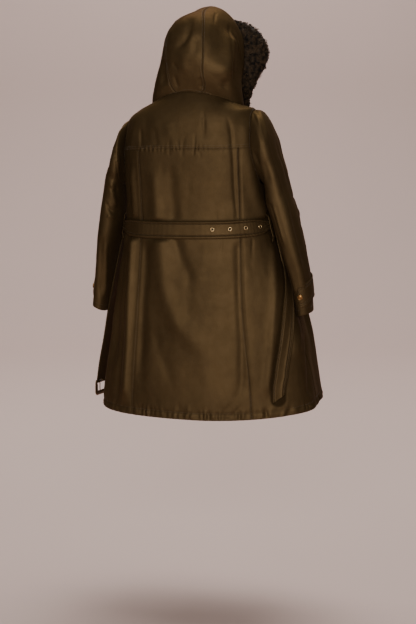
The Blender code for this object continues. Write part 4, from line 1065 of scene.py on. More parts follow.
def fur_finish(name, colours):
    """Curly fur: near black, with curls that lighten to brown by their own value."""
    finish, tree = new_finish(name)
    fleck = add_node(tree, "ShaderNodeAttribute", attribute_name="fleck").outputs["Fac"]
    patch = ranged(tree, noise_at(tree, 90.0, 2.0), 0.35, 0.7, 0.0, 0.6)
    return shaded(
        finish,
        {
            "Base Color": mixed(tree, colours.fur, colours.fur_fleck, worked(tree, fleck, patch, "ADD")),
            "Roughness": 0.75,
            "Specular IOR Level": 0.12,
            "Sheen Weight": 0.01,
            "Sheen Roughness": 0.4,
            "Sheen Tint": (0.35, 0.24, 0.16, 1.0),
            "Normal": bumped(tree, noise_at(tree, 900.0, 2.0), 0.6, 0.0006),
        },
    )


def metal_finish(name, colour, roughness, metallic):
    """Cast and polished metal: cloudy gloss, fine scratches, and a darker tint in cloudy patches."""
    finish, tree = new_finish(name)
    cloud = ranged(tree, noise_at(tree, 160.0, 4.0), 0.35, 0.65)
    return shaded(
        finish,
        {
            "Base Color": mixed(tree, shade(colour, 0.72), colour, cloud),
            "Roughness": cloudy(tree, 700.0, roughness * 0.8, roughness * 1.3),
            "Metallic": metallic,
            "Normal": bumped(tree, noise_at(tree, 500.0), 0.25, 0.0002),
        },
    )


# Each metal's colour in the panel, its roughness and how metallic it is.
METALS = {
    "gold_fittings": ("gold", 0.36, 1.0),
    "brass_buttons": ("brass", 0.36, 1.0),
    "bronze_buckle": ("bronze", 0.44, 0.85),
}
FINISHES = {"coat_satin": satin_finish, "stitch_thread": thread_finish, "curly_fur": fur_finish}


def finish_for(name):
    """A finish by name, made once from the colours in the panel."""
    made = bpy.data.materials.get(name)
    if made:
        return made
    colours = bpy.context.scene.raincoat_colours
    if name in METALS:
        tone, roughness, metallic = METALS[name]
        return metal_finish(name, getattr(colours, tone), roughness, metallic)
    return FINISHES[name](name, colours)


# ---------------------------------------------------------------- the coat's own relief


def belt_line():
    angles = np.linspace(BACK_BELT[0].angle, BACK_BELT[-1].angle, 60)
    rows = smooth_by_key(BACK_BELT, angles)[:, 1]
    return line_on(body_point, rows, angles)


def tail_line():
    rows = np.linspace(RIGHT_TAIL[0].row, RIGHT_TAIL[-1].row, 60)
    angles = smooth_by_key(RIGHT_TAIL, rows)[:, 1]
    return line_on(body_point, rows, angles)


def carrier_line(side):
    rows = np.linspace(*CARRIER_ROWS, 16)
    angles = np.full(16, CARRIER_ANGLES[side])
    return line_on(body_point, rows, angles)


def armhole_line(side):
    rows, angles = armhole_edge(side, np.linspace(0.0, 360.0, 73))
    return line_on(body_point, rows, angles)


def coat_relief(row, angle, points):
    """The lift of each point of the coat's body, and its painted shade: up to 1 at seams and stitching, more
    under the belt, its tail and its carriers, and where the fronts lap.
    """
    strength = bpy.context.scene.raincoat_sizes.crease_strength
    row_metres = row_length(body_point, row, angle)
    degree_metres = degree_length(body_point, row, angle)
    creases = YOKE_CREASES + BACK_CREASES + SKIRT_CREASES + HEM_CREASES + FRONT_CREASES
    lift = crease_lift(body_point, creases, points, strength)
    lift += waviness(points, strength, ((0.0011, 0.055, 0.16, 1), (0.0005, 0.020, 0.042, 2)))
    lift += waviness(points, strength, ((0.0009, 0.045, 0.30, 3),)) * rise(row, 9.0, 11.0)
    free = clear_of(points, *belt_line(), 0.022, 0.012)
    free *= clear_of(points, *tail_line(), 0.021, 0.010)
    for side in SIDES:
        free *= clear_of(points, *carrier_line(side), 0.008, 0.008)
    lap = (angle > LAP_START - 8.0) | (angle < -LAP_START + 8.0)
    free = np.where(lap, free * 0.35, free)
    lift = lift * free - 0.0004 * (1.0 - free)
    # Painted shade: the cloth under the belt, its tail and its carriers is darkened, seen through the eyelets
    # and just beside their edges, and so are the fronts where they lap.
    painted_shade = 2.6 * (1.0 - free) ** 2
    back = np.abs(angle) < 90.0

    def sew(away, shown, strength=1.0):
        nonlocal lift, painted_shade
        shown = shown * strength
        lift = lift + seam_dip(away) * shown
        painted_shade = np.maximum(painted_shade, painted_seam_shade(away) * shown)

    yoke_away = (row - YOKE_ROW) * row_metres
    sew(yoke_away, back & (row < UNDERARM), 0.45)
    along = angle * degree_metres
    middle = bell(angle + 5.0, 34.0) + 0.35
    lift += gather_lift(YOKE_GATHER, along, yoke_away, points, 4) * middle * back
    for side in SIDES:
        away = (angle - princess_angle(side, np.maximum(row, YOKE_ROW))) * degree_metres
        sew(away, row >= YOKE_ROW)
        lift -= 0.0017 * bell(away - 0.0048, 0.0034) * (row >= YOKE_ROW)
        seam_along = row * row_metres
        lift += gather_lift(PRINCESS_GATHER, seam_along, away, points, 5) * (row >= YOKE_ROW)
        side_angle = 90.0 if side == "right" else -90.0
        away = (angle - side_angle) * degree_metres
        sew(away, row >= UNDERARM)
        sew(away, row <= ARMHOLE_TOP)
        line, out = armhole_line(side)
        close = np.flatnonzero(near_box(points, line, 0.03))
        if len(close):
            far = np.full(len(points), 1.0)
            far[close] = nearest(points[close], line, out)[2]
            painted_shade = np.maximum(painted_shade, 0.5 * painted_seam_shade(far, 0.004))
            lift -= 0.0004 * bell(far, 0.004)
    hem_away = (HEM_ROW - row) * row_metres
    lift += gather_lift(HEM_GATHER, along, hem_away - HEM_FOLD * 0.55, points, 6)
    lift -= 0.0016 * bell(hem_away - HEM_FOLD, 0.0040)
    lift += 0.0007 * rise(-hem_away, -HEM_FOLD, -HEM_FOLD + 0.006)
    lift -= 0.0009 * bell(hem_away, 0.0015)
    painted_shade = np.maximum(painted_shade, 0.7 * painted_seam_shade(hem_away - HEM_FOLD, 0.003))
    neck_away = row * row_metres
    lift -= 0.0008 * bell(neck_away, 0.0030)
    painted_shade = np.maximum(painted_shade, painted_seam_shade(neck_away, 0.006))
    return lift, painted_shade


def coat_places(row, angle, extra=0.0):
    """Points that lie on the finished cloth of the body."""
    return raised(body_point, coat_relief, row, angle, extra)[0]


def front_lift(angle):
    """The right front stands off the left front where it laps over."""
    return LAP_LIFT * rise(angle, LAP_START, LAP_FULL)


# ---------------------------------------------------------------- body panels

EDGE_OFFSETS = (0.0, 0.0007, 0.0017, 0.0032)  # columns of a panel close to its seams


def edged(surface, rows, edges, columns):
    """The angles of a grid between two edges, each a line and whether it is a seam, closer beside seams."""
    ends = []
    for (line, seam), sign in zip(edges, (1, -1)):
        near = np.array(EDGE_OFFSETS)[::sign] + SEAM_GAP / 2.0 if seam else np.zeros(1)
        ends.append(line[:, None] + sign * near / degree_length(surface, rows, line)[:, None])
    left, right = ends
    share = np.linspace(0.0, 1.0, columns)[1:-1]
    middle = left[:, -1:] * (1.0 - share) + right[:, :1] * share
    if (left.shape[1] + middle.shape[1] + right.shape[1]) % 2 == 0:
        middle = middle[:, :-1]
    return np.concatenate([left, middle, right], 1)


# A panel's rows: from and to, the angles of its two edges and its number of columns.
Panel = namedtuple("Panel", "name start end first last columns lap")
PANELS = (
    Panel("back_yoke", 0.0, YOKE_ROW, ("armhole", "left", 1), ("armhole", "right", 1), 190, False),
    Panel("back_center", YOKE_ROW, HEM_ROW, ("princess", "left", 1), ("princess", "right", 1), 134, False),
    Panel("back_side_left", YOKE_ROW, HEM_ROW, ("armhole", "left", 1), ("princess", "left", 1), 64, False),
    Panel("back_side_right", YOKE_ROW, HEM_ROW, ("princess", "right", 1), ("armhole", "right", 1), 90, False),
    Panel("front_left", 0.0, HEM_ROW, ("end", LEFT_FRONT_END, 1), ("armhole", "left", -1), 96, False),
    Panel("front_right", 0.0, HEM_ROW, ("armhole", "right", -1), ("end", LAP_END, 1), 128, True),
)


def edge_line(edge, rows):
    """The angles that a panel's edge follows."""
    kind, value, facing = edge
    if kind == "princess":
        return princess_angle(value, rows)
    if kind == "armhole":
        return armhole_angle(value, rows, facing)
    return np.full(len(rows), value)


def panel_rows(panel, spacing):
    """The panel's rows, close together at its ends and where the armhole turns."""
    gap = SEAM_GAP / 2.0 / float(row_length(body_point, YOKE_ROW, 0.0))
    start = panel.start + (gap if panel.start > 0.0 else 0.0)
    end = panel.end - (gap if panel.end < HEM_ROW else 0.0)
    rows = rows_by_length(body_point, 0.0, start, end, 0.0008, spacing)
    turns = armhole_edge("right", np.linspace(0.0, 180.0, 37))[0]
    turns = turns[(turns > start + 0.02) & (turns < min(end, UNDERARM) - 0.02)]
    rows = np.unique(np.concatenate([rows, turns]))
    kept = [rows[0]]
    for row in rows[1:-1]:
        if row - kept[-1] > 0.008 and rows[-1] - row > 0.008:
            kept.append(row)
    kept.append(rows[-1])
    if len(kept) % 2 == 0:
        kept.insert(len(kept) // 2, (kept[len(kept) // 2 - 1] + kept[len(kept) // 2]) / 2.0)
    return np.array(kept)


def make_panel(panel):
    """One panel of the body as a wall of cloth with its creases, gathers and seams."""
    rows = panel_rows(panel, bpy.context.scene.raincoat_sizes.grid)
    edges = [(edge_line(edge, rows), True) for edge in (panel.first, panel.last)]
    angles = edged(body_point, rows, edges, panel.columns)
    rows = np.repeat(rows[:, None], angles.shape[1], 1)
    extra = front_lift(angles) if panel.lap else 0.0 * angles
    front = panel.name.startswith("front")
    if front:
        edge = 0 if panel.name == "front_left" else -1
        away = np.abs(angles - angles[:, edge][:, None]) * degree_length(body_point, rows, angles)
        extra = extra - 0.0008 * bell(away, 0.0014) - 0.0005 * bell(away - FRONT_STITCH, 0.002)
    outer, out, painted_shade = raised(body_point, coat_relief, rows, angles, extra)
    if front:
        # Painted shade along the front edge's stitching.
        painted_shade = np.maximum(painted_shade, 0.6 * painted_seam_shade(away - FRONT_STITCH, 0.003))
    return hang_cloth(panel.name, outer, out, painted_shade)


# ---------------------------------------------------------------- sleeves

SLEEVE_SURFACES = {"right": right_sleeve_point, "left": left_sleeve_point}


def tab_row(side, turn):
    return TAB_ROW - TAB_SLOPE * (TABS[side].end - turn)


def tab_line(side):
    turns = np.linspace(TABS[side].start, TABS[side].end, 40)
    return line_on(SLEEVE_SURFACES[side], tab_row(side, turns), turns)


def sleeve_relief(side, ring, turn, points):
    """The lift of each point of a sleeve, and its painted shade near its seams and stitching."""
    surface = SLEEVE_SURFACES[side]
    strength = bpy.context.scene.raincoat_sizes.crease_strength
    lift = crease_lift(surface, SLEEVE_CREASES[side], points, strength)
    lift += waviness(points, strength, ((0.0011, 0.035, 0.080, 11), (0.0004, 0.016, 0.030, 12)))
    inner = bell(np.abs((turn % 360.0) - 180.0), 50.0) * rise(ring, 0.6, 2.0) * rise(-ring, -9.0, -7.0)
    lift *= 1.0 - 0.75 * inner
    free = clear_of(points, *tab_line(side), 0.017, 0.008)
    lift = lift * free - 0.0003 * (1.0 - free)
    ring_metres = row_length(surface, ring, turn)
    cap_away = ring * ring_metres
    cuff_away = (CUFF_ROW - ring) * ring_metres
    along = turn * degree_length(surface, ring, turn)
    lift *= rise(cap_away, 0.0, 0.006)
    lift += gather_lift(CAP_GATHER, along, cap_away - 0.004, points, 13) * rise(cap_away, 0.0, 0.003)
    lift += 0.0006 * bell(cap_away - 0.006, 0.0032)
    lift -= 0.0005 * bell(cap_away, 0.0014) + 0.0007 * bell(cuff_away, 0.0014)
    lift -= 0.0004 * bell(cuff_away - CUFF_STITCH, 0.0022) * free
    painted_shade = np.maximum(0.5 * painted_seam_shade(cap_away, 0.0030), 0.6 * painted_seam_shade(cuff_away - CUFF_STITCH, 0.003))
    seam_away = ((turn % 360.0) - 200.0) * degree_length(surface, ring, turn)
    lift += seam_dip(seam_away)
    return lift, np.maximum(painted_shade, painted_seam_shade(seam_away))


def sleeve_raised(side, ring, turn, extra=0.0):
    return raised(SLEEVE_SURFACES[side], partial(sleeve_relief, side), ring, turn, extra)


def make_sleeve(side):
    spacing = bpy.context.scene.raincoat_sizes.grid * 0.9
    rings = rows_by_length(SLEEVE_SURFACES[side], 90.0, 0.0, CUFF_ROW, 0.0008, spacing)
    turns = np.linspace(0.0, 360.0, 161)[:-1]
    raised_cloth = sleeve_raised(side, *np.meshgrid(rings, turns, indexing="ij"))
    return hang_cloth("sleeve_" + side, *raised_cloth, share=0.9, closed=True)


# ---------------------------------------------------------------- straps


def strap_rings(place, count, across, height, stitch, gather=None):
    """Closed rings of a strap. place(along, share, lift) gives points; along runs 0 to 1, share -1 to 1."""
    rings, maps, painted_groove_shade = [], [], []
    shares = np.sin(np.linspace(-math.pi / 2.0, math.pi / 2.0, across))
    edge = 1.0 - np.abs(shares)
    soft = rise(edge, -0.01, 0.07)
    groove = sum(bell(edge - line, 0.055) for line in stitch)
    puff = bell(edge - stitch[0] * 0.5, stitch[0] * 0.42)
    for along in np.linspace(0.0, 1.0, count):
        top = height * (0.62 + 0.38 * soft - 0.42 * groove + 0.34 * puff)
        if gather is not None:
            top = top + gather(along, shares)
        low = height * 0.30 * (1.0 - soft)
        outer = place(np.full(across, along), shares, top)
        inner = place(np.full(across, along), shares, low)[::-1]
        rings.append(np.concatenate([outer, inner]))
        maps.append(np.stack([np.concatenate([shares, shares[::-1]]), np.full(2 * across, along)], -1))
        # Painted shade darkens the outer face along its stitched grooves; the inner face gets none.
        painted_groove_shade.append(np.concatenate([np.clip(groove, 0.0, 1.0), 0.0 * groove]))
    return np.array(rings), np.array(maps), np.array(painted_groove_shade)


def make_strap(name, place, count, across, height, size, stitch=(0.22,), gather=None):
    """A strap of folded cloth, as a mesh. size is its half width and its length, for the weave."""
    rings, maps, painted_groove_shade = strap_rings(place, count, across, height, stitch, gather)
    points, faces = loft(rings)
    uv = (maps * size).reshape(-1, 2)
    uv = np.concatenate([uv, uv[:1], uv[-1:]])
    painted_groove_shade = np.concatenate([painted_groove_shade.ravel(), [0.0, 0.0]])
    # The grooves' painted shade goes into the seam attribute at 0.8 of its strength.
    return make_mesh(name, points, faces, uv, painted_groove_shade * 0.8)


def belt_place(along, share, lift):
    angle = BACK_BELT[0].angle + (BACK_BELT[-1].angle - BACK_BELT[0].angle) * along
    belt = Belt(*np.moveaxis(smooth_by_key(BACK_BELT, angle), -1, 0))
    half = belt.half_width / row_length(body_point, belt.row, angle)
    return on_surface(body_point, belt.row + share * half, angle, BELT_STAND + lift)


def belt_gather(along, share):
    """The belt's soft pleats: deep where a carrier gathers it, faint between."""
    near_left, near_right = bell(along, 0.13), bell(1.0 - along, 0.065)
    pleats = 0.0034 * np.cos(share * 7.4 + 0.5) * near_left
    twist = 0.0022 * np.cos(share * 8.2 + along * 60.0) + 0.0010 * np.cos(share * 3.0 - along * 95.0)
    pleats = pleats + twist * near_right
    pucker = 0.00022 * np.cos(along * 256.0 + 2.0 * np.sin(along * 31.0)) * (0.3 + np.abs(share))
    wave = 0.0004 * np.sin(along * 19.0 + share * 1.4) + 0.0003 * np.sin(along * 47.0 - share)
    wave = wave + 0.0036 * bell(along - 0.31, 0.07)
    return pleats + pucker + wave


def tail_place(along, share, lift):
    row = RIGHT_TAIL[0].row + (RIGHT_TAIL[-1].row - RIGHT_TAIL[0].row) * along
    tail = Tail(*np.moveaxis(smooth_by_key(RIGHT_TAIL, row), -1, 0))
    half = tail.half_width / degree_length(body_point, row, tail.angle)
    slant = -0.09 * rise(row, 13.0, 13.48)
    return on_surface(body_point, row + slant * share, tail.angle + half * share, TAIL_STAND + lift)


def tail_gather(along, share):
    fold = 0.0010 * bell(share - 0.45, 0.14) * rise(along, 0.1, 0.3)
    pucker = 0.00055 * np.cos(along * 300.0 + 2.0 * np.sin(along * 27.0)) * np.abs(share) ** 2
    hollow = -0.0016 * np.cos(share * 1.4) ** 2
    return fold + pucker + hollow + 0.0007 * np.sin(along * 14.0 + share * 0.8)


def left_end_place(along, share, lift):
    """The hanging end: lift is measured from its inner face, outwards from the coat."""
    hang = Hang(*np.moveaxis(smooth(LEFT_END, along * (len(LEFT_END) - 1.0)), -1, 0))
    turn = np.radians(hang.turn)
    wide = np.stack([np.sin(turn), np.cos(turn), 0.0 * turn], -1)
    out = np.stack([-np.cos(turn), np.sin(turn), 0.0 * turn], -1)
    middle = np.stack([hang.x, hang.y, hang.z], -1)
    return middle + wide * (hang.half_width * share)[..., None] + out * (lift - BELT_CLOTH / 2.0)[..., None]


def left_end_gather(along, share):
    top = bell(along, 0.10)
    pucker = 0.00022 * np.cos(along * 340.0 + 2.0 * np.sin(along * 23.0)) * np.abs(share) ** 2
    return 0.0008 * np.cos(share * 4.6) * top + pucker + 0.0003 * np.sin(along * 17.0)


def carrier_place(side):
    def place(along, share, lift):
        top, foot = CARRIER_ROWS
        row = top + (foot - top) * along
        over = BELT_STAND + BELT_CLOTH + BELT_STAND
        rest = TAB_STAND + (over - TAB_STAND) * rise(row, top, top + 0.2) * rise(-row, -foot, 0.2 - foot)
        middle = CARRIER_ANGLES[side]
        half = CARRIER_HALF_WIDTH / degree_length(body_point, row, np.full_like(row, middle))
        return on_surface(body_point, row, middle + half * share, rest + lift)

    return place


def tab_place(side):
    tab = TABS[side]

    def place(along, share, lift):
        turn = tab.start + (tab.end - tab.start) * along
        point = rise(-turn, -tab.end, -tab.end + 14.0)
        width = 0.30 + 0.70 * np.sqrt(np.clip(point, 0.0, 1.0))
        row = tab_row(side, turn) + share * TAB_HALF_LENGTH * width
        return on_surface(SLEEVE_SURFACES[side], row, turn, TAB_STAND + lift)

    return place


def tab_gather(along, share):
    return 0.00022 * np.cos(along * 120.0 + 2.0 * np.sin(along * 9.0)) * np.abs(share)


# ---------------------------------------------------------------- hood and fur


def hood_relief(row, lean, points):
    """The lift of each point of the hood, and its painted shade near its seams."""
    strength = bpy.context.scene.raincoat_sizes.crease_strength
    lift = crease_lift(hood_point, HOOD_CREASES, points, strength)
    lift += waviness(points, strength, ((0.0010, 0.045, 0.045, 21), (0.0004, 0.016, 0.022, 22)))
    row_metres = row_length(hood_point, row, lean)
    lean_metres = degree_length(hood_point, row, lean)
    lift *= rise(row * row_metres, 0.0, 0.02)
    painted_shade = np.zeros(len(points))
    for side in SIDES:
        away = (lean - gusset_lean(side, row)) * lean_metres
        lift = lift + seam_dip(away)
        painted_shade = np.maximum(painted_shade, painted_seam_shade(away))
        lift += gather_lift(PRINCESS_GATHER, row * row_metres, away, points, 23)
    base_away = row * row_metres
    face_away = (FACE_ROW - row) * row_metres
    lift -= 0.0008 * bell(base_away, 0.0020) + 0.0006 * bell(face_away, 0.0020)
    lift += 0.0007 * bell(base_away - 0.0075, 0.0035)
    painted_shade = np.maximum(painted_shade, painted_seam_shade(base_away, 0.006))
    return lift, np.maximum(painted_shade, painted_seam_shade(face_away, 0.008))


def hood_places(row, lean, extra=0.0):
    return raised(hood_point, hood_relief, row, lean, extra)[0]


HoodPanel = namedtuple("HoodPanel", "name first last columns")
HOOD_PANELS = (
    HoodPanel("hood_gusset", "left", "right", 62),
    HoodPanel("hood_side_left", None, "left", 84),
    HoodPanel("hood_side_right", "right", None, 92),
)


def tucked(outer, out, painted_shade):
    """The hood's grid with two rows more before its first one, turned in under the neckline and darkened
    there by painted shade.
    """
    inward = unit(out[:1] * (1.0, 1.0, 0.0))
    rows = [outer[:1] - inward * step * 0.20 - (0.0, 0.0, step) for step in (0.0200, 0.0080)]
    # The turned-in rows carry full painted shade.
    ones = np.ones((2, painted_shade.shape[1]))
    return (
        np.concatenate([*rows, outer]),
        np.concatenate([out[:1], out[:1], out]),
        np.concatenate([ones, painted_shade]),
    )


def make_hood_panel(panel):
    spacing = bpy.context.scene.raincoat_sizes.grid * 0.8
    rows = rows_by_length(hood_point, 0.0, 0.0, FACE_ROW, 0.0008, spacing)
    edges = []
    for side, foot in ((panel.first, -90.0), (panel.last, 90.0)):
        edges.append((gusset_lean(side, rows) if side else np.full(len(rows), foot), side))
    leans = edged(hood_point, rows, edges, panel.columns + (panel.columns + 1) % 2)
    rows = np.repeat(rows[:, None], leans.shape[1], 1)
    grids = tucked(*raised(hood_point, hood_relief, rows, leans))
    if not (panel.first and panel.last):
        step = -1 if panel.first else 1
        grids = tucked(*(grid.swapaxes(0, 1)[::step] for grid in grids))
        grids = [grid[::step].swapaxes(0, 1) for grid in grids]
    return hang_cloth(panel.name, *grids)


def fur_ring(lean, size, turns):
    """Rings of the fur's reach, with their flat side along the hood's face edge."""
    edge = hood_point(np.full_like(lean, FACE_ROW), lean)
    ahead = unit(edge - hood_point(np.full_like(lean, FACE_ROW - 0.2), lean))
    out = normal(hood_point, np.full_like(lean, FACE_ROW), lean)
    full = rise(np.abs(lean), 5.0, 45.0)
    thick = (FUR_THICK + FUR_THICKER * full)[:, None] * size
    stand = FUR_STAND + (FUR_STAND_OFF - FUR_STAND) * rise(np.abs(lean), 30.0, 60.0)
    lift = FUR_OUT * full[:, None] * size + thick * np.sin(turns)[None]
    forward = (FUR_FORWARD + FUR_DEEP * np.cos(turns)[None]) * size
    forward = np.maximum(forward, stand[:, None] + FUR_SPLAY * np.abs(lift))
    return edge[:, None] + ahead[:, None] * forward[..., None] + out[:, None] * lift[..., None]


def fur_skin(shrink):
    """The fur's lumpy skin, kept inside its reach by shrink."""
    leans = np.linspace(-87.0, 87.0, 150)
    size = 1.0 - 0.10 * rise(np.abs(leans), 84.0, 87.0)
    for lean, reach, more in ((8.0, 12.0, -0.20), (40.0, 12.0, 0.16), (62.0, 9.0, -0.20), (80.0, 7.0, 0.32)):
        size = size + more * bell(np.abs(leans) - lean, reach)
    size = size[:, None]
    turns = np.linspace(0.0, math.tau, 49)[:-1]
    rings = fur_ring(leans, size, turns)
    centre = rings.mean(1, keepdims=True)
    arm = rings - centre
    length = np.linalg.norm(arm, axis=-1, keepdims=True)
    rings = centre + arm * np.maximum(1.0 - shrink / length, 0.3)
    flat = rings.reshape(-1, 3)
    lump = waviness(flat, 1.0, ((0.0045, 0.016, 0.016, 31), (0.0020, 0.008, 0.008, 32)))
    away = unit(arm).reshape(-1, 3)
    return (flat + away * lump[:, None]).reshape(rings.shape)


# ---------------------------------------------------------------- node trees


def new_tree(name, inputs):
    """A geometry tree and its inputs' sockets. inputs are rows of label, socket kind and value."""
    old = bpy.data.node_groups.get(name)
    if old:
        bpy.data.node_groups.remove(old)
    tree = bpy.data.node_groups.new(name, "GeometryNodeTree")
    tree.interface.new_socket("Geometry", in_out="INPUT", socket_type="NodeSocketGeometry")
    tree.interface.new_socket("Geometry", in_out="OUTPUT", socket_type="NodeSocketGeometry")
    for label, kind, value in inputs:
        socket = tree.interface.new_socket(label, in_out="INPUT", socket_type="NodeSocket" + kind)
        if value is not None:
            socket.default_value = value
    return tree, add_node(tree, "NodeGroupInput").outputs


def end_tree(tree, instances, finish):
    """The tree, ended by realized instances in their finish."""
    real = add_node(tree, "GeometryNodeRealizeInstances", {0: instances}).outputs[0]
    inputs = {"Geometry": real, "Material": finish}
    add_node(tree, "NodeGroupOutput", {0: add_node(tree, "GeometryNodeSetMaterial", inputs).outputs[0]})
    return tree


def grown_mesh(name, seed_mesh, tree, values):
    """The plain mesh that a tree makes from a mesh. values are its inputs by their labels."""
    holder = bpy.data.objects.new(name + "_source", seed_mesh)
    bpy.context.scene.collection.objects.link(holder)
    grow = holder.modifiers.new("grow", "NODES")
    grow.node_group = tree
    for item in tree.interface.items_tree:
        if item.in_out == "INPUT" and item.name in values:
            grow[item.identifier] = values[item.name]
    mesh = evaluated_mesh(holder, preserve_all_data_layers=True)
    bpy.data.objects.remove(holder, do_unlink=True)
    return mesh


def stitch_tree():
    """Threads laid end to end along lines: each is a small capsule that follows its line."""
    tree, entry = new_tree(
        "topstitch",
        (
            ("Pitch", "Float", 0.004),
            ("Thread Length", "Float", 0.0029),
            ("Thread Radius", "Float", 0.00042),
            ("Thread", "Material", None),
        ),
    )
    lines = add_node(tree, "GeometryNodeMeshToCurve", {0: entry["Geometry"]}).outputs[0]
    inputs = {"Curve": lines, "Length": entry["Pitch"]}
    spots = add_node(tree, "GeometryNodeCurveToPoints", inputs, mode="LENGTH").outputs
    bead = add_node(tree, "GeometryNodeMeshUVSphere", {"Segments": 5, "Rings": 4, "Radius": 1.0})
    thick, half = entry["Thread Radius"], worked(tree, entry["Thread Length"], 0.5)
    size = add_node(tree, "ShaderNodeCombineXYZ", {"X": thick, "Y": thick, "Z": half}).outputs[0]
    inputs = {"Geometry": bead.outputs["Mesh"], "Scale": size}
    thread = add_node(tree, "GeometryNodeTransform", inputs).outputs[0]
    inputs = {"Points": spots["Points"], "Instance": thread, "Rotation": spots["Rotation"]}
    return end_tree(tree, add_node(tree, "GeometryNodeInstanceOnPoints", inputs).outputs[0], entry["Thread"])


def fur_tree():
    """Small curls scattered over a skin. Each keeps a value from 0 to 1 that lightens some of them."""
    tree, entry = new_tree(
        "fur_curls",
        (
            ("Density", "Float", 20000.0),
            ("Curl Radius", "Float", 0.0034),
            ("Strand Radius", "Float", 0.0009),
            ("Curl Height", "Float", 0.0045),
            ("Seed", "Int", 4),
            ("Fur", "Material", None),
        ),
    )
    inputs = {"Mesh": entry["Geometry"], "Density": entry["Density"], "Seed": entry["Seed"]}
    spots = add_node(tree, "GeometryNodeDistributePointsOnFaces", inputs, distribute_method="RANDOM").outputs
    inputs = {
        "Resolution": 7,
        "Rotations": 0.85,
        "Start Radius": entry["Curl Radius"],
        "End Radius": worked(tree, entry["Curl Radius"], 0.45),
        "Height": entry["Curl Height"],
    }
    spiral = add_node(tree, "GeometryNodeCurveSpiral", inputs).outputs[0]
    inputs = {"Resolution": 4, "Radius": entry["Strand Radius"]}
    ring = add_node(tree, "GeometryNodeCurvePrimitiveCircle", inputs).outputs[0]
    inputs = {"Curve": spiral, "Profile Curve": ring, "Fill Caps": True}
    curl = add_node(tree, "GeometryNodeCurveToMesh", inputs).outputs[0]
    inputs = {"Min": (-1.1, -1.1, -3.14), "Max": (1.1, 1.1, 3.14), "Seed": entry["Seed"]}
    turn = add_node(tree, "FunctionNodeRandomValue", inputs, data_type="FLOAT_VECTOR").outputs[0]
    inputs = {"Rotation": spots["Rotation"], "Rotate By": turn}
    rotation = add_node(tree, "FunctionNodeRotateEuler", inputs, space="LOCAL").outputs[0]
    size = add_node(tree, "FunctionNodeRandomValue", {2: 0.65, 3: 1.25}).outputs[1]
    inputs = {"Points": spots["Points"], "Instance": curl, "Rotation": rotation, "Scale": size}
    curls = add_node(tree, "GeometryNodeInstanceOnPoints", inputs).outputs[0]
    fleck = worked(tree, add_node(tree, "FunctionNodeRandomValue").outputs[1], 3.0, "POWER")
    inputs = {"Geometry": curls, "Name": "fleck", "Value": fleck}
    kept = add_node(tree, "GeometryNodeStoreNamedAttribute", inputs, data_type="FLOAT", domain="INSTANCE")
    return end_tree(tree, kept.outputs[0], entry["Fur"])


def lay_stitches(name, lines):
    """One piece of topstitching that follows lines of points."""
    sizes = bpy.context.scene.raincoat_sizes
    points, edges, count = [], [], 0
    for line in lines:
        points += [tuple(point) for point in line]
        edges += [(count + number, count + number + 1) for number in range(len(line) - 1)]
        count += len(line)
    seed = bpy.data.meshes.new(name)
    seed.from_pydata(points, edges, [])
    thread = finish_for("stitch_thread")
    values = {
        "Pitch": sizes.stitch_pitch,
        "Thread Length": sizes.stitch_length,
        "Thread Radius": sizes.thread_radius,
        "Thread": thread,
    }
    mesh = grown_mesh(name, seed, stitch_tree(), values)
    mesh.shade_smooth()
    return add_piece(name, mesh, thread, "coat", [])


# ---------------------------------------------------------------- stitch lines

STITCH_LIFT = 0.0001
# How far each row of stitching is from its seam.
SEAM_STITCH, YOKE_STITCH, ARMHOLE_STITCH = 0.0034, 0.0100, 0.0046
GUSSET_STITCH, NECK_STITCH = 0.0042, 0.0080


def coat_line(rows, angles):
    return coat_places(rows, angles, STITCH_LIFT)


def beside(rows, angles, away):
    """The angles that lie a distance beside a line down the body."""
    return angles + away / degree_length(body_point, rows, angles)


def body_stitches():
    """Topstitching of the back's seams and the hem."""
    lines = []
    for side in SIDES:
        rows = np.linspace(YOKE_ROW + 0.08, HEM_ROW - 0.04, 240)
        seam = princess_angle(side, rows)
        inward = 1.0 if side == "left" else -1.0
        lines.append(coat_line(rows, beside(rows, seam, inward * SEAM_STITCH)))
    angles = np.linspace(-75.0, 59.0, 200)
    per_row = row_length(body_point, np.full(200, YOKE_ROW), angles)
    for away in (-SEAM_STITCH, -YOKE_STITCH):
        lines.append(coat_line(YOKE_ROW + away / per_row, angles))
    for start, end in ((-89.5, 89.5), (91.0, 186.5), (-184.0, -91.0)):
        angles = np.linspace(start, end, 400)
        per_row = row_length(body_point, np.full(400, HEM_ROW - 0.2), angles)
        lift = front_lift(angles) if end > 180.0 else 0.0
        lines.append(coat_places(HEM_ROW - HEM_FOLD / per_row, angles, STITCH_LIFT + lift))
    return lines


def armhole_stitches():
    lines = []
    for side in SIDES:
        turns = np.linspace(-100.0, 150.0, 150)
        rows, angles = armhole_edge(side, turns)
        outward = 1.0 if side == "right" else -1.0
        rows = rows - ARMHOLE_STITCH * np.cos(np.radians(turns)) / row_length(body_point, rows, angles)
        shift = ARMHOLE_STITCH * np.sin(np.radians(turns)) / degree_length(body_point, rows, angles)
        lines.append(coat_line(rows, angles - outward * shift))
    return lines


def hood_stitches():
    """A double row along each side of the gusset, and one above the neck seam."""
    lines = []
    rows = np.linspace(0.25, FACE_ROW - 0.12, 160)
    for side in SIDES:
        seam = gusset_lean(side, rows)
        per_degree = degree_length(hood_point, rows, seam)
        for away in (-GUSSET_STITCH, GUSSET_STITCH):
            lines.append(hood_places(rows, seam + away / per_degree, STITCH_LIFT))
    leans = np.linspace(-88.0, 88.0, 260)
    per_row = row_length(hood_point, np.full(260, 0.2), leans)
    lines.append(hood_places(NECK_STITCH / per_row, leans, STITCH_LIFT))
    return lines


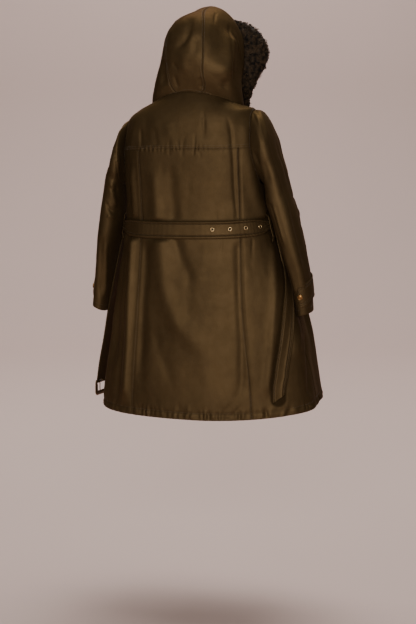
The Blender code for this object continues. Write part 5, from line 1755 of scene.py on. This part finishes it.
def cuff_stitches():
    lines = []
    for side in SIDES:
        surface = SLEEVE_SURFACES[side]
        turns = np.linspace(-170.0, 188.0, 200)
        per_ring = row_length(surface, np.full(200, CUFF_ROW - 0.2), turns)
        rings = CUFF_ROW - CUFF_STITCH / per_ring
        free = clear_of(surface(rings, turns), *tab_line(side), 0.024, 0.001)
        line = sleeve_raised(side, rings, turns, STITCH_LIFT)[0]
        for part in np.split(line, np.flatnonzero(np.abs(np.diff(free > 0.5))) + 1):
            middle = len(part) // 2
            near = clear_of(part[middle : middle + 1], *tab_line(side), 0.024, 0.001)
            if len(part) > 6 and near[0] > 0.5:
                lines.append(part)
    return lines


def strap_stitches(place, height, shares, gather, across=None, end=0.99):
    """Rows of stitching along a strap, and across its end where asked."""
    lines, count = [], 200
    along = np.linspace(0.01, end, count)
    for share in shares:
        lines.append(place(along, np.full(count, share), height * 0.66 + gather(along, share)))
    if across is not None:
        share = np.linspace(-0.86, 0.86, 24)
        lines.append(place(np.full(24, across), share, height * 0.80 + gather(across, share)))
    return lines


# ---------------------------------------------------------------- what the panel sets


def length(label, description, value, low):
    return FloatProperty(name=label, description=description, default=value, min=low, unit="LENGTH")


class RaincoatSizes(bpy.types.PropertyGroup):
    """Sizes that change how the cloth and its trimmings look."""

    cloth: length("Cloth", "Thickness of the folded cloth's wall", 0.0022, 0.001)
    grid: length("Grid", "How far apart the cloth's points are", 0.0050, 0.002)
    crease_strength: FloatProperty(
        name="Creases",
        description="How deep the creases are, as a share of their own depth",
        default=1.0,
        min=0.0,
    )
    stitch_pitch: length("Stitch Pitch", "From one stitch to the next", 0.0040, 0.001)
    stitch_length: length("Stitch Length", "Length of one stitch", 0.0030, 0.001)
    thread_radius: length("Thread", "Radius of the thread", 0.00040, 0.0001)
    fur_density: FloatProperty(
        name="Curls", description="Fur curls for each square metre", default=20000.0, min=100.0
    )
    curl_radius: length("Curl", "Radius of one fur curl", 0.0036, 0.001)
    fur_seed: IntProperty(name="Fur Seed", description="Fixes how the curls fall", default=4)
    eyelet_radius: length("Eyelet", "Outer radius of an eyelet", 0.0062, 0.002)
    button_radius: length("Front Button", "Radius of a front button", 0.0100, 0.003)
    tab_button_radius: length("Tab Button", "Radius of a cuff tab's button", 0.0085, 0.003)


def colour(label, description, value):
    return FloatVectorProperty(
        name=label, description=description, default=value, size=3, min=0.0, max=1.0, subtype="COLOR"
    )


class RaincoatColours(bpy.types.PropertyGroup):
    """Colours of the coat's finishes."""

    satin: colour("Satin", "Ground colour of the cloth", (0.0730, 0.0462, 0.0212))
    satin_glow: colour("Satin Glow", "Colour of the cloth's raised floats", (0.1180, 0.0800, 0.0410))
    thread: colour("Thread", "Colour of the topstitching", (0.075, 0.044, 0.018))
    fur: colour("Fur", "Ground colour of the fur", (0.0030, 0.0021, 0.0015))
    fur_fleck: colour("Fur Flecks", "Colour of the lighter curls", (0.066, 0.041, 0.022))
    gold: colour("Gold", "Colour of the eyelets", (0.72, 0.52, 0.28))
    brass: colour("Brass", "Colour of the buttons", (0.34, 0.18, 0.065))
    bronze: colour("Bronze", "Colour of the buckle", (0.120, 0.065, 0.026))
    backdrop: colour("Backdrop", "Colour of the floor and the wall behind", (0.585, 0.452, 0.414))


# ---------------------------------------------------------------- operators


class RAINCOAT_OT_panels(bpy.types.Operator):
    """Make the body: yoke, centre back, side backs and fronts"""

    bl_idname = "raincoat.panels"
    bl_label = "Body Panels"

    def execute(self, context):
        for panel in PANELS:
            make_panel(panel)
        return {"FINISHED"}


class RAINCOAT_OT_sleeves(bpy.types.Operator):
    """Make both sleeves"""

    bl_idname = "raincoat.sleeves"
    bl_label = "Sleeves"

    def execute(self, context):
        for side in SIDES:
            make_sleeve(side)
        return {"FINISHED"}


class RAINCOAT_OT_hood(bpy.types.Operator):
    """Make the hood's gusset and its two sides"""

    bl_idname = "raincoat.hood"
    bl_label = "Hood"

    def execute(self, context):
        for panel in HOOD_PANELS:
            make_hood_panel(panel)
        return {"FINISHED"}


class RAINCOAT_OT_fur(bpy.types.Operator):
    """Make the fur trim: a lumpy skin and the curls on it"""

    bl_idname = "raincoat.fur"
    bl_label = "Fur Trim"

    def execute(self, context):
        sizes = context.scene.raincoat_sizes
        fur = finish_for("curly_fur")
        skin = make_mesh("fur_skin", *loft(fur_skin(FUR_SHRINK)))
        values = {
            "Density": sizes.fur_density,
            "Curl Radius": sizes.curl_radius,
            "Seed": sizes.fur_seed,
            "Fur": fur,
        }
        curls = grown_mesh("fur_curls", skin.copy(), fur_tree(), values)
        curls.shade_smooth()
        add_piece("fur_skin", skin, fur, "coat", ["fur_trim"])
        add_piece("fur_curls", curls, fur, "coat", [])
        return {"FINISHED"}


class RAINCOAT_OT_belt(bpy.types.Operator):
    """Make the belt's three stretches, its carriers and the loops round the buckle's bar"""

    bl_idname = "raincoat.belt"
    bl_label = "Belt"

    def execute(self, context):
        mesh = make_strap("belt", belt_place, 221, 41, BELT_CLOTH, (0.0245, 0.47), (0.30,), belt_gather)
        self.punch(add_satin("belt_across_back", mesh, "belt_back"))
        mesh = make_strap("belt", tail_place, 201, 45, BELT_CLOTH, (0.022, 0.56), DOUBLE_ROW, tail_gather)
        add_satin("belt_tail", mesh, "belt_tail_right")
        size = (0.0245, 0.54)
        mesh = make_strap("belt", left_end_place, 181, 41, BELT_CLOTH, size, (0.28,), left_end_gather)
        parts = [self.bar_loop(offset) for offset in (-LOOP_OFFSET, LOOP_OFFSET)]
        loops = make_mesh("bar_loops", *joined(parts))
        add_satin("belt_left_end", self.merged(mesh, loops), "belt_end_left")
        for side in SIDES:
            mesh = make_strap("carrier", carrier_place(side), 61, 15, CARRIER_CLOTH, (0.006, 0.07), (0.3,))
            add_satin("carrier_" + side, mesh, "belt_carrier_" + side)
        return {"FINISHED"}

    def punch(self, belt):
        """Cut the eyelets' holes through the belt."""
        profile = ((0.0, -0.01), (EYELET_HOLE, -0.01), (EYELET_HOLE, 0.01), (0.0, 0.01))
        for angle in EYELET_ANGLES:
            hole = make_mesh("hole", *turned(profile, *eyelet_place(angle), 24))
            cutter = bpy.data.objects.new("hole", hole)
            bpy.context.scene.collection.objects.link(cutter)
            cut = belt.modifiers.new("hole", "BOOLEAN")
            cut.operation = "DIFFERENCE"
            cut.solver = "EXACT"
            cut.object = cutter
            mesh = evaluated_mesh(belt)
            belt.modifiers.clear()
            belt.data = mesh
            bpy.data.objects.remove(cutter, do_unlink=True)

    def merged(self, first, second):
        """Two meshes as one, with the first one's map and painted shade."""
        shape = bmesh.new()
        shape.from_mesh(first)
        shape.from_mesh(second)
        shape.to_mesh(first)
        shape.free()
        first.shade_smooth()
        first.set_sharp_from_angle(angle=math.radians(60.0))
        return first

    def bar_loop(self, offset):
        """A narrow loop of cloth from the strap's foot round the bar and back up inside."""
        rings = []
        for turn in np.radians(np.linspace(70.0, 395.0, 28)):
            out = np.array([math.cos(turn), 0.0, math.sin(turn)])
            ring = []
            for step in np.linspace(0.0, math.tau, 17)[:-1]:
                wide = offset + LOOP_LENGTH / 2.0 * np.clip(1.35 * math.cos(step), -1.0, 1.0)
                ring.append(out * (LOOP_RADIUS + LOOP_THICK * math.sin(step)) + (0.0, wide, 0.0))
            rings.append(ring)
        points, faces = loft(rings)
        return on_bar(points), faces


def on_bar(points):
    """Points in the bar's own frame, x out, y along it and z up, set in their place."""
    turn = np.array(Matrix.Rotation(math.radians(BAR_TURN), 3, "Z"))
    return np.asarray(points) @ turn.T + np.array(BAR_PLACE)


def eyelet_place(angle):
    """Where an eyelet sits on the belt, and which way it faces."""
    row = float(smooth_by_key(BACK_BELT, np.array([angle]))[0, 1])
    along = (angle - BACK_BELT[0].angle) / (BACK_BELT[-1].angle - BACK_BELT[0].angle)
    top = BELT_CLOTH + float(belt_gather(along, 0.0))
    place = on_surface(body_point, np.array([row]), np.array([angle]), BELT_STAND + top)[0]
    return place, normal(body_point, np.array([row]), np.array([angle]))[0]


class RAINCOAT_OT_cuff_tabs(bpy.types.Operator):
    """Make the pointed tab round each cuff"""

    bl_idname = "raincoat.cuff_tabs"
    bl_label = "Cuff Tabs"

    def execute(self, context):
        for side in SIDES:
            size = (0.014, 0.19)
            mesh = make_strap("tab", tab_place(side), 121, 41, TAB_CLOTH, size, DOUBLE_ROW, tab_gather)
            add_satin("tab_" + side, mesh, "cuff_tab_" + side)
        return {"FINISHED"}


# Half sections of the turned fittings: shares of the radius, and heights in metres.
EYELET_PROFILE = (
    (0.60, -0.0012), (0.60, 0.0003), (0.65, 0.0009), (0.74, 0.0013), (0.84, 0.0012), (0.93, 0.0008),
    (1.0, 0.0002), (0.98, -0.0001), (0.65, 0.0001), (0.65, -0.0012), (0.60, -0.0012),
)
BUTTON_PROFILE = (
    (0.0, 0.0036), (0.20, 0.0035), (0.42, 0.0031), (0.60, 0.0025), (0.66, 0.0024), (0.70, 0.0029),
    (0.80, 0.0038), (0.88, 0.0040), (0.96, 0.0034), (1.0, 0.0024), (0.98, 0.0014), (0.86, 0.0006),
    (0.30, 0.0003), (0.0, 0.0003),
)


def sized(profile, radius):
    return [(radius * share, height) for share, height in profile]


class RAINCOAT_OT_eyelets(bpy.types.Operator):
    """Make the belt's four eyelets, with a rolled flange and a collar through the belt"""

    bl_idname = "raincoat.eyelets"
    bl_label = "Eyelets"

    def execute(self, context):
        radius = context.scene.raincoat_sizes.eyelet_radius
        for number, angle in enumerate(EYELET_ANGLES, 1):
            place, out = eyelet_place(angle)
            mesh = make_mesh("eyelet", *turned(sized(EYELET_PROFILE, radius), place - out * 0.0001, out, 36))
            finish = finish_for("gold_fittings")
            add_piece("belt_eyelet_%d" % number, mesh, finish, "coat", ["eyelet_%d" % number])
        return {"FINISHED"}


class RAINCOAT_OT_buttons(bpy.types.Operator):
    """Make the buttons of the cuff tabs and the front"""

    bl_idname = "raincoat.buttons"
    bl_label = "Buttons"

    def execute(self, context):
        sizes = context.scene.raincoat_sizes
        for side in SIDES:
            turn = np.array([TABS[side].end - TAB_BUTTON_TURN])
            row = tab_row(side, turn)
            place, out = self.spot(SLEEVE_SURFACES[side], row, turn, TAB_STAND + TAB_CLOTH)
            self.button("tab_button_" + side, place, out, sizes.tab_button_radius, "cuff_button_" + side)
        for number, row in enumerate(FRONT_BUTTON_ROWS, 1):
            place, out = self.spot(body_point, np.array([row]), np.array([180.0]), LAP_LIFT)
            name, node = "closing_button_%d" % number, "front_button_%d" % number
            self.button(name, place, out, sizes.button_radius, node)
        return {"FINISHED"}

    def spot(self, surface, row, angle, lift):
        """Where a button sits on a surface, and which way it faces."""
        return on_surface(surface, row, angle, lift)[0], normal(surface, row, angle)[0]

    def button(self, name, place, out, radius, node):
        """A domed metal button with a stepped rim."""
        mesh = make_mesh("button", *turned(sized(BUTTON_PROFILE, radius), place, out, 40))
        add_piece(name, mesh, finish_for("brass_buttons"), "coat", [node])


class RAINCOAT_OT_buckle(bpy.types.Operator):
    """Make the buckle's frame and its prong, each on its own moving body"""

    bl_idname = "raincoat.buckle"
    bl_label = "Buckle"

    def execute(self, context):
        half = FRAME_WIDTH / 2.0
        corners = (
            (half - FRAME_CORNER, -FRAME_CORNER, 0.0),
            (FRAME_CORNER - half, -FRAME_CORNER, 90.0),
            (FRAME_CORNER - half, FRAME_CORNER - FRAME_DROP, 180.0),
            (half - FRAME_CORNER, FRAME_CORNER - FRAME_DROP, 270.0),
        )
        line = []
        for y, z, start in corners:
            for turn in np.radians(np.linspace(start, start + 90.0, 9)):
                line.append((0.0, y + FRAME_CORNER * math.cos(turn), z + FRAME_CORNER * math.sin(turn)))
        line = np.array(self.filled(line, 0.004))
        broad = rise(-line[:, 2], 0.003, 0.012)[:, None]
        line[:, 1:] -= broad * 0.0034 * line[:, 1:] / (half, FRAME_DROP)
        points, faces = tube(line, FRAME_WIRE, closed=True, around=14, bend=(1.0, 0.0, 0.0))
        rings = np.array(points).reshape(len(line), -1, 3) - line[:, None]
        rings[..., 1:] *= 1.0 + 2.0 * broad[:, None]
        points = (rings + line[:, None]).reshape(-1, 3)
        self.place("buckle_ring", points, faces, "buckle", "buckle_frame")
        rest = -(FRAME_WIRE + PRONG_WIRE + CONTACT + 0.0006)
        turns = np.radians(np.linspace(-130.0, 180.0, 32))
        line = [(PRONG_EYE * math.cos(turn), 0.0, PRONG_EYE * math.sin(turn)) for turn in turns]
        drops = (0.004, 0.008, 0.016, 0.024, 0.032, 0.040, FRAME_DROP + 0.002)
        line += [(rest, 0.0, -drop) for drop in drops]
        radii = [PRONG_WIRE] * (len(line) - 3) + [PRONG_WIRE * 0.95, PRONG_WIRE * 0.85, PRONG_WIRE * 0.6]
        points, faces = tube(line, radii, around=12, bend=(0.0, 1.0, 0.0))
        self.place("buckle_pin", points, faces, "prong", "buckle_prong")
        return {"FINISHED"}

    def place(self, name, points, faces, body, node):
        mesh = make_mesh(name, on_bar(points), faces)
        add_piece(name, mesh, finish_for("bronze_buckle"), body, [node])

    def filled(self, line, longest):
        """A closed line with points added to its straight stretches."""
        full = []
        for start, end in zip(line, line[1:] + line[:1]):
            count = max(1, math.ceil(math.dist(start, end) / longest))
            full += [tuple(a + (b - a) * step / count for a, b in zip(start, end)) for step in range(count)]
        return full


class RAINCOAT_OT_stitching(bpy.types.Operator):
    """Lay the topstitching of the body, hood, cuffs, belt and tabs"""

    bl_idname = "raincoat.stitching"
    bl_label = "Topstitching"

    def execute(self, context):
        lay_stitches("stitches_body", body_stitches())
        lay_stitches("stitches_armholes", armhole_stitches())
        lay_stitches("stitches_hood", hood_stitches())
        lay_stitches("stitches_cuffs", cuff_stitches())
        lines = strap_stitches(belt_place, BELT_CLOTH, (-0.70, 0.70), belt_gather)
        lines += strap_stitches(left_end_place, BELT_CLOTH, (-0.72, 0.72), left_end_gather)
        lines += strap_stitches(tail_place, BELT_CLOTH, DOUBLE_SHARES, tail_gather, 0.985)
        lay_stitches("stitches_belt", lines)
        lines = []
        for side in SIDES:
            lines += strap_stitches(tab_place(side), TAB_CLOTH, DOUBLE_SHARES, tab_gather, end=0.93)
        lay_stitches("stitches_tabs", lines)
        return {"FINISHED"}


VIEW_PLACE, VIEW_TURN, VIEW_TILT = (1.0168, -3.6616, -0.12), 15.0, 8.44  # metres and degrees

Light = namedtuple("Light", "name place aim size power tint")
LIGHTS = (
    Light("key", (0.85, -4.0, 0.45), (0.0, 0.0, -0.45), (2.3, 2.0), 132.0, (1.0, 0.96, 0.91)),
    Light("fill", (-2.6, -2.6, 1.4), (0.0, 0.0, -0.3), (1.6, 2.4), 3.0, (1.0, 0.97, 0.93)),
    Light("wall", (-0.7, 2.4, 4.6), (-1.5, 6.0, -0.6), (5.0, 3.6), 380.0, (1.0, 0.97, 0.94)),
    Light("top", (0.25, 0.8, 3.2), (0.0, 0.0, -0.2), (2.4, 1.6), 80.0, (1.0, 0.97, 0.93)),
)


class RAINCOAT_OT_studio(bpy.types.Operator):
    """Set up the floor and backdrop, the lights and the camera"""

    bl_idname = "raincoat.studio"
    bl_label = "Studio"

    def execute(self, context):
        self.backdrop(context)
        self.lights(context)
        self.camera(context)
        return {"FINISHED"}

    def backdrop(self, context):
        """A floor that sweeps up into the wall behind."""
        turn = math.radians(VIEW_TURN)
        ahead = Vector((-math.sin(turn), math.cos(turn), 0.0))
        across = Vector((math.cos(turn), math.sin(turn), 0.0))
        floor, bend, far, high = -1.62, 1.9, 6.4, 7.0
        section = [(-6.0, floor), (far - bend, floor)]
        for step in np.linspace(0.0, math.pi / 2.0, 25)[1:]:
            section.append((far - bend + bend * math.sin(step), floor + bend - bend * math.cos(step)))
        section.append((far, high))
        points, faces = [], []
        for y, z in section:
            for side in (-9.0, 9.0):
                points.append(ahead * y + across * side + Vector((0.0, 0.0, z)))
        for row in range(len(section) - 1):
            faces.append((2 * row, 2 * row + 1, 2 * row + 3, 2 * row + 2))
        mesh = bpy.data.meshes.new("backdrop")
        mesh.from_pydata(points, [], faces)
        mesh.shade_smooth()
        finish, tree = new_finish("backdrop_paper")
        pale = context.scene.raincoat_colours.backdrop
        paper = mixed(tree, shade(pale, 0.98), pale, cloudy(tree, 0.8))
        shaded(finish, {"Base Color": paper, "Roughness": 0.9})
        mesh.materials.append(finish)
        remove_piece("backdrop")
        sweep = bpy.data.objects.new("backdrop", mesh)
        context.scene.collection.objects.link(sweep)

    def lights(self, context):
        """One big soft light beside the camera, a weak fill, one on the wall and one overhead."""
        for light in LIGHTS:
            remove_piece(light.name)
            data = bpy.data.lights.new(light.name, "AREA")
            data.shape = "RECTANGLE"
            data.size, data.size_y = light.size
            data.energy = light.power
            data.color = light.tint
            lamp = bpy.data.objects.new(light.name, data)
            context.scene.collection.objects.link(lamp)
            lamp.location = light.place
            aim = Vector(light.aim) - Vector(light.place)
            lamp.rotation_euler = aim.to_track_quat("-Z", "Y").to_euler()
        world = bpy.data.worlds.get("studio_air") or bpy.data.worlds.new("studio_air")
        world.use_nodes = True
        air = world.node_tree.nodes["Background"]
        air.inputs["Color"].default_value = (1.0, 0.96, 0.92, 1.0)
        air.inputs["Strength"].default_value = 0.06
        context.scene.world = world

    def camera(self, context):
        remove_piece("camera")
        data = bpy.data.cameras.new("camera")
        data.sensor_fit = "VERTICAL"
        data.sensor_height = 36.0
        data.lens = 70.0
        data.clip_end = 60.0
        camera = bpy.data.objects.new("camera", data)
        context.scene.collection.objects.link(camera)
        camera.location = VIEW_PLACE
        camera.rotation_euler = (math.radians(90.0 - VIEW_TILT), 0.0, math.radians(VIEW_TURN))
        context.scene.camera = camera


# Flat sizes that the cloth is cut to: width, length and the cut's own area, how it is held, and what it
# hangs from.
Cut = namedtuple("Cut", "piece width length area held rests")
CUTS = (
    Cut("cloth_back_yoke", 0.500, 0.215, 0.080, "draped", ()),
    Cut("cloth_back_center", 0.400, 0.830, 0.285, "hung", ("cloth_back_yoke",)),
    Cut("cloth_back_side_left", 0.220, 0.820, 0.145, "hung", ("cloth_back_yoke",)),
    Cut("cloth_back_side_right", 0.240, 0.840, 0.150, "hung", ("cloth_back_yoke",)),
    Cut("cloth_front_left", 0.450, 0.980, 0.340, "hung", ("cloth_back_yoke",)),
    Cut("cloth_front_right", 0.500, 0.980, 0.400, "hung", ("cloth_back_yoke",)),
    Cut("cloth_sleeve_left", 0.400, 0.600, 0.180, "hung", ("cloth_back_yoke",)),
    Cut("cloth_sleeve_right", 0.420, 0.620, 0.200, "hung", ("cloth_back_yoke",)),
    Cut("cloth_hood_gusset", 0.130, 0.470, 0.042, "draped", ("cloth_back_yoke",)),
    Cut("cloth_hood_side_left", 0.290, 0.340, 0.070, "draped", ("cloth_back_yoke",)),
    Cut("cloth_hood_side_right", 0.310, 0.360, 0.075, "draped", ("cloth_back_yoke",)),
    Cut("belt_across_back", 0.049, 0.560, None, "laid", ("cloth_back_center",)),
    Cut("belt_left_end", 0.049, 0.550, None, "hung", ("carrier_left",)),
    Cut("belt_tail", 0.044, 0.570, None, "hung", ("carrier_right",)),
    Cut("carrier_left", 0.012, 0.080, None, "laid", ("cloth_back_side_left",)),
    Cut("carrier_right", 0.012, 0.080, None, "laid", ("cloth_back_side_right",)),
    Cut("tab_left", 0.028, 0.220, None, "laid", ("cloth_sleeve_left",)),
    Cut("tab_right", 0.028, 0.300, None, "laid", ("cloth_sleeve_right",)),
)


def declare_cloth():
    """Runs through the table of cuts; it declares nothing."""
    for cut in CUTS:
        list(cut.rests)


class RAINCOAT_PT_panel(bpy.types.Panel):
    """The raincoat's pieces, sizes and colours"""

    bl_idname = "RAINCOAT_PT_panel"
    bl_label = "Raincoat"
    bl_space_type = "VIEW_3D"
    bl_region_type = "UI"
    bl_category = "Raincoat"

    def draw(self, context):
        layout = self.layout
        for operator in OPERATORS:
            layout.operator(operator.bl_idname)
        for group in (context.scene.raincoat_sizes, context.scene.raincoat_colours):
            box = layout.box()
            for name in group.__annotations__:
                box.prop(group, name)


OPERATORS = (
    RAINCOAT_OT_panels,
    RAINCOAT_OT_sleeves,
    RAINCOAT_OT_hood,
    RAINCOAT_OT_fur,
    RAINCOAT_OT_belt,
    RAINCOAT_OT_cuff_tabs,
    RAINCOAT_OT_eyelets,
    RAINCOAT_OT_buttons,
    RAINCOAT_OT_buckle,
    RAINCOAT_OT_stitching,
    RAINCOAT_OT_studio,
)
CLASSES = (RaincoatSizes, RaincoatColours, *OPERATORS, RAINCOAT_PT_panel)


def register():
    for cls in CLASSES:
        bpy.utils.register_class(cls)
    bpy.types.Scene.raincoat_sizes = PointerProperty(type=RaincoatSizes)
    bpy.types.Scene.raincoat_colours = PointerProperty(type=RaincoatColours)


def unregister():
    del bpy.types.Scene.raincoat_colours
    del bpy.types.Scene.raincoat_sizes
    for cls in reversed(CLASSES):
        bpy.utils.unregister_class(cls)


def main():
    register()
    bpy.ops.raincoat.panels()
    bpy.ops.raincoat.sleeves()
    bpy.ops.raincoat.hood()
    bpy.ops.raincoat.fur()
    bpy.ops.raincoat.belt()
    bpy.ops.raincoat.cuff_tabs()
    bpy.ops.raincoat.eyelets()
    bpy.ops.raincoat.buttons()
    bpy.ops.raincoat.buckle()
    bpy.ops.raincoat.stitching()
    bpy.ops.raincoat.studio()
    declare_cloth()


if __name__ == "__main__":
    main()
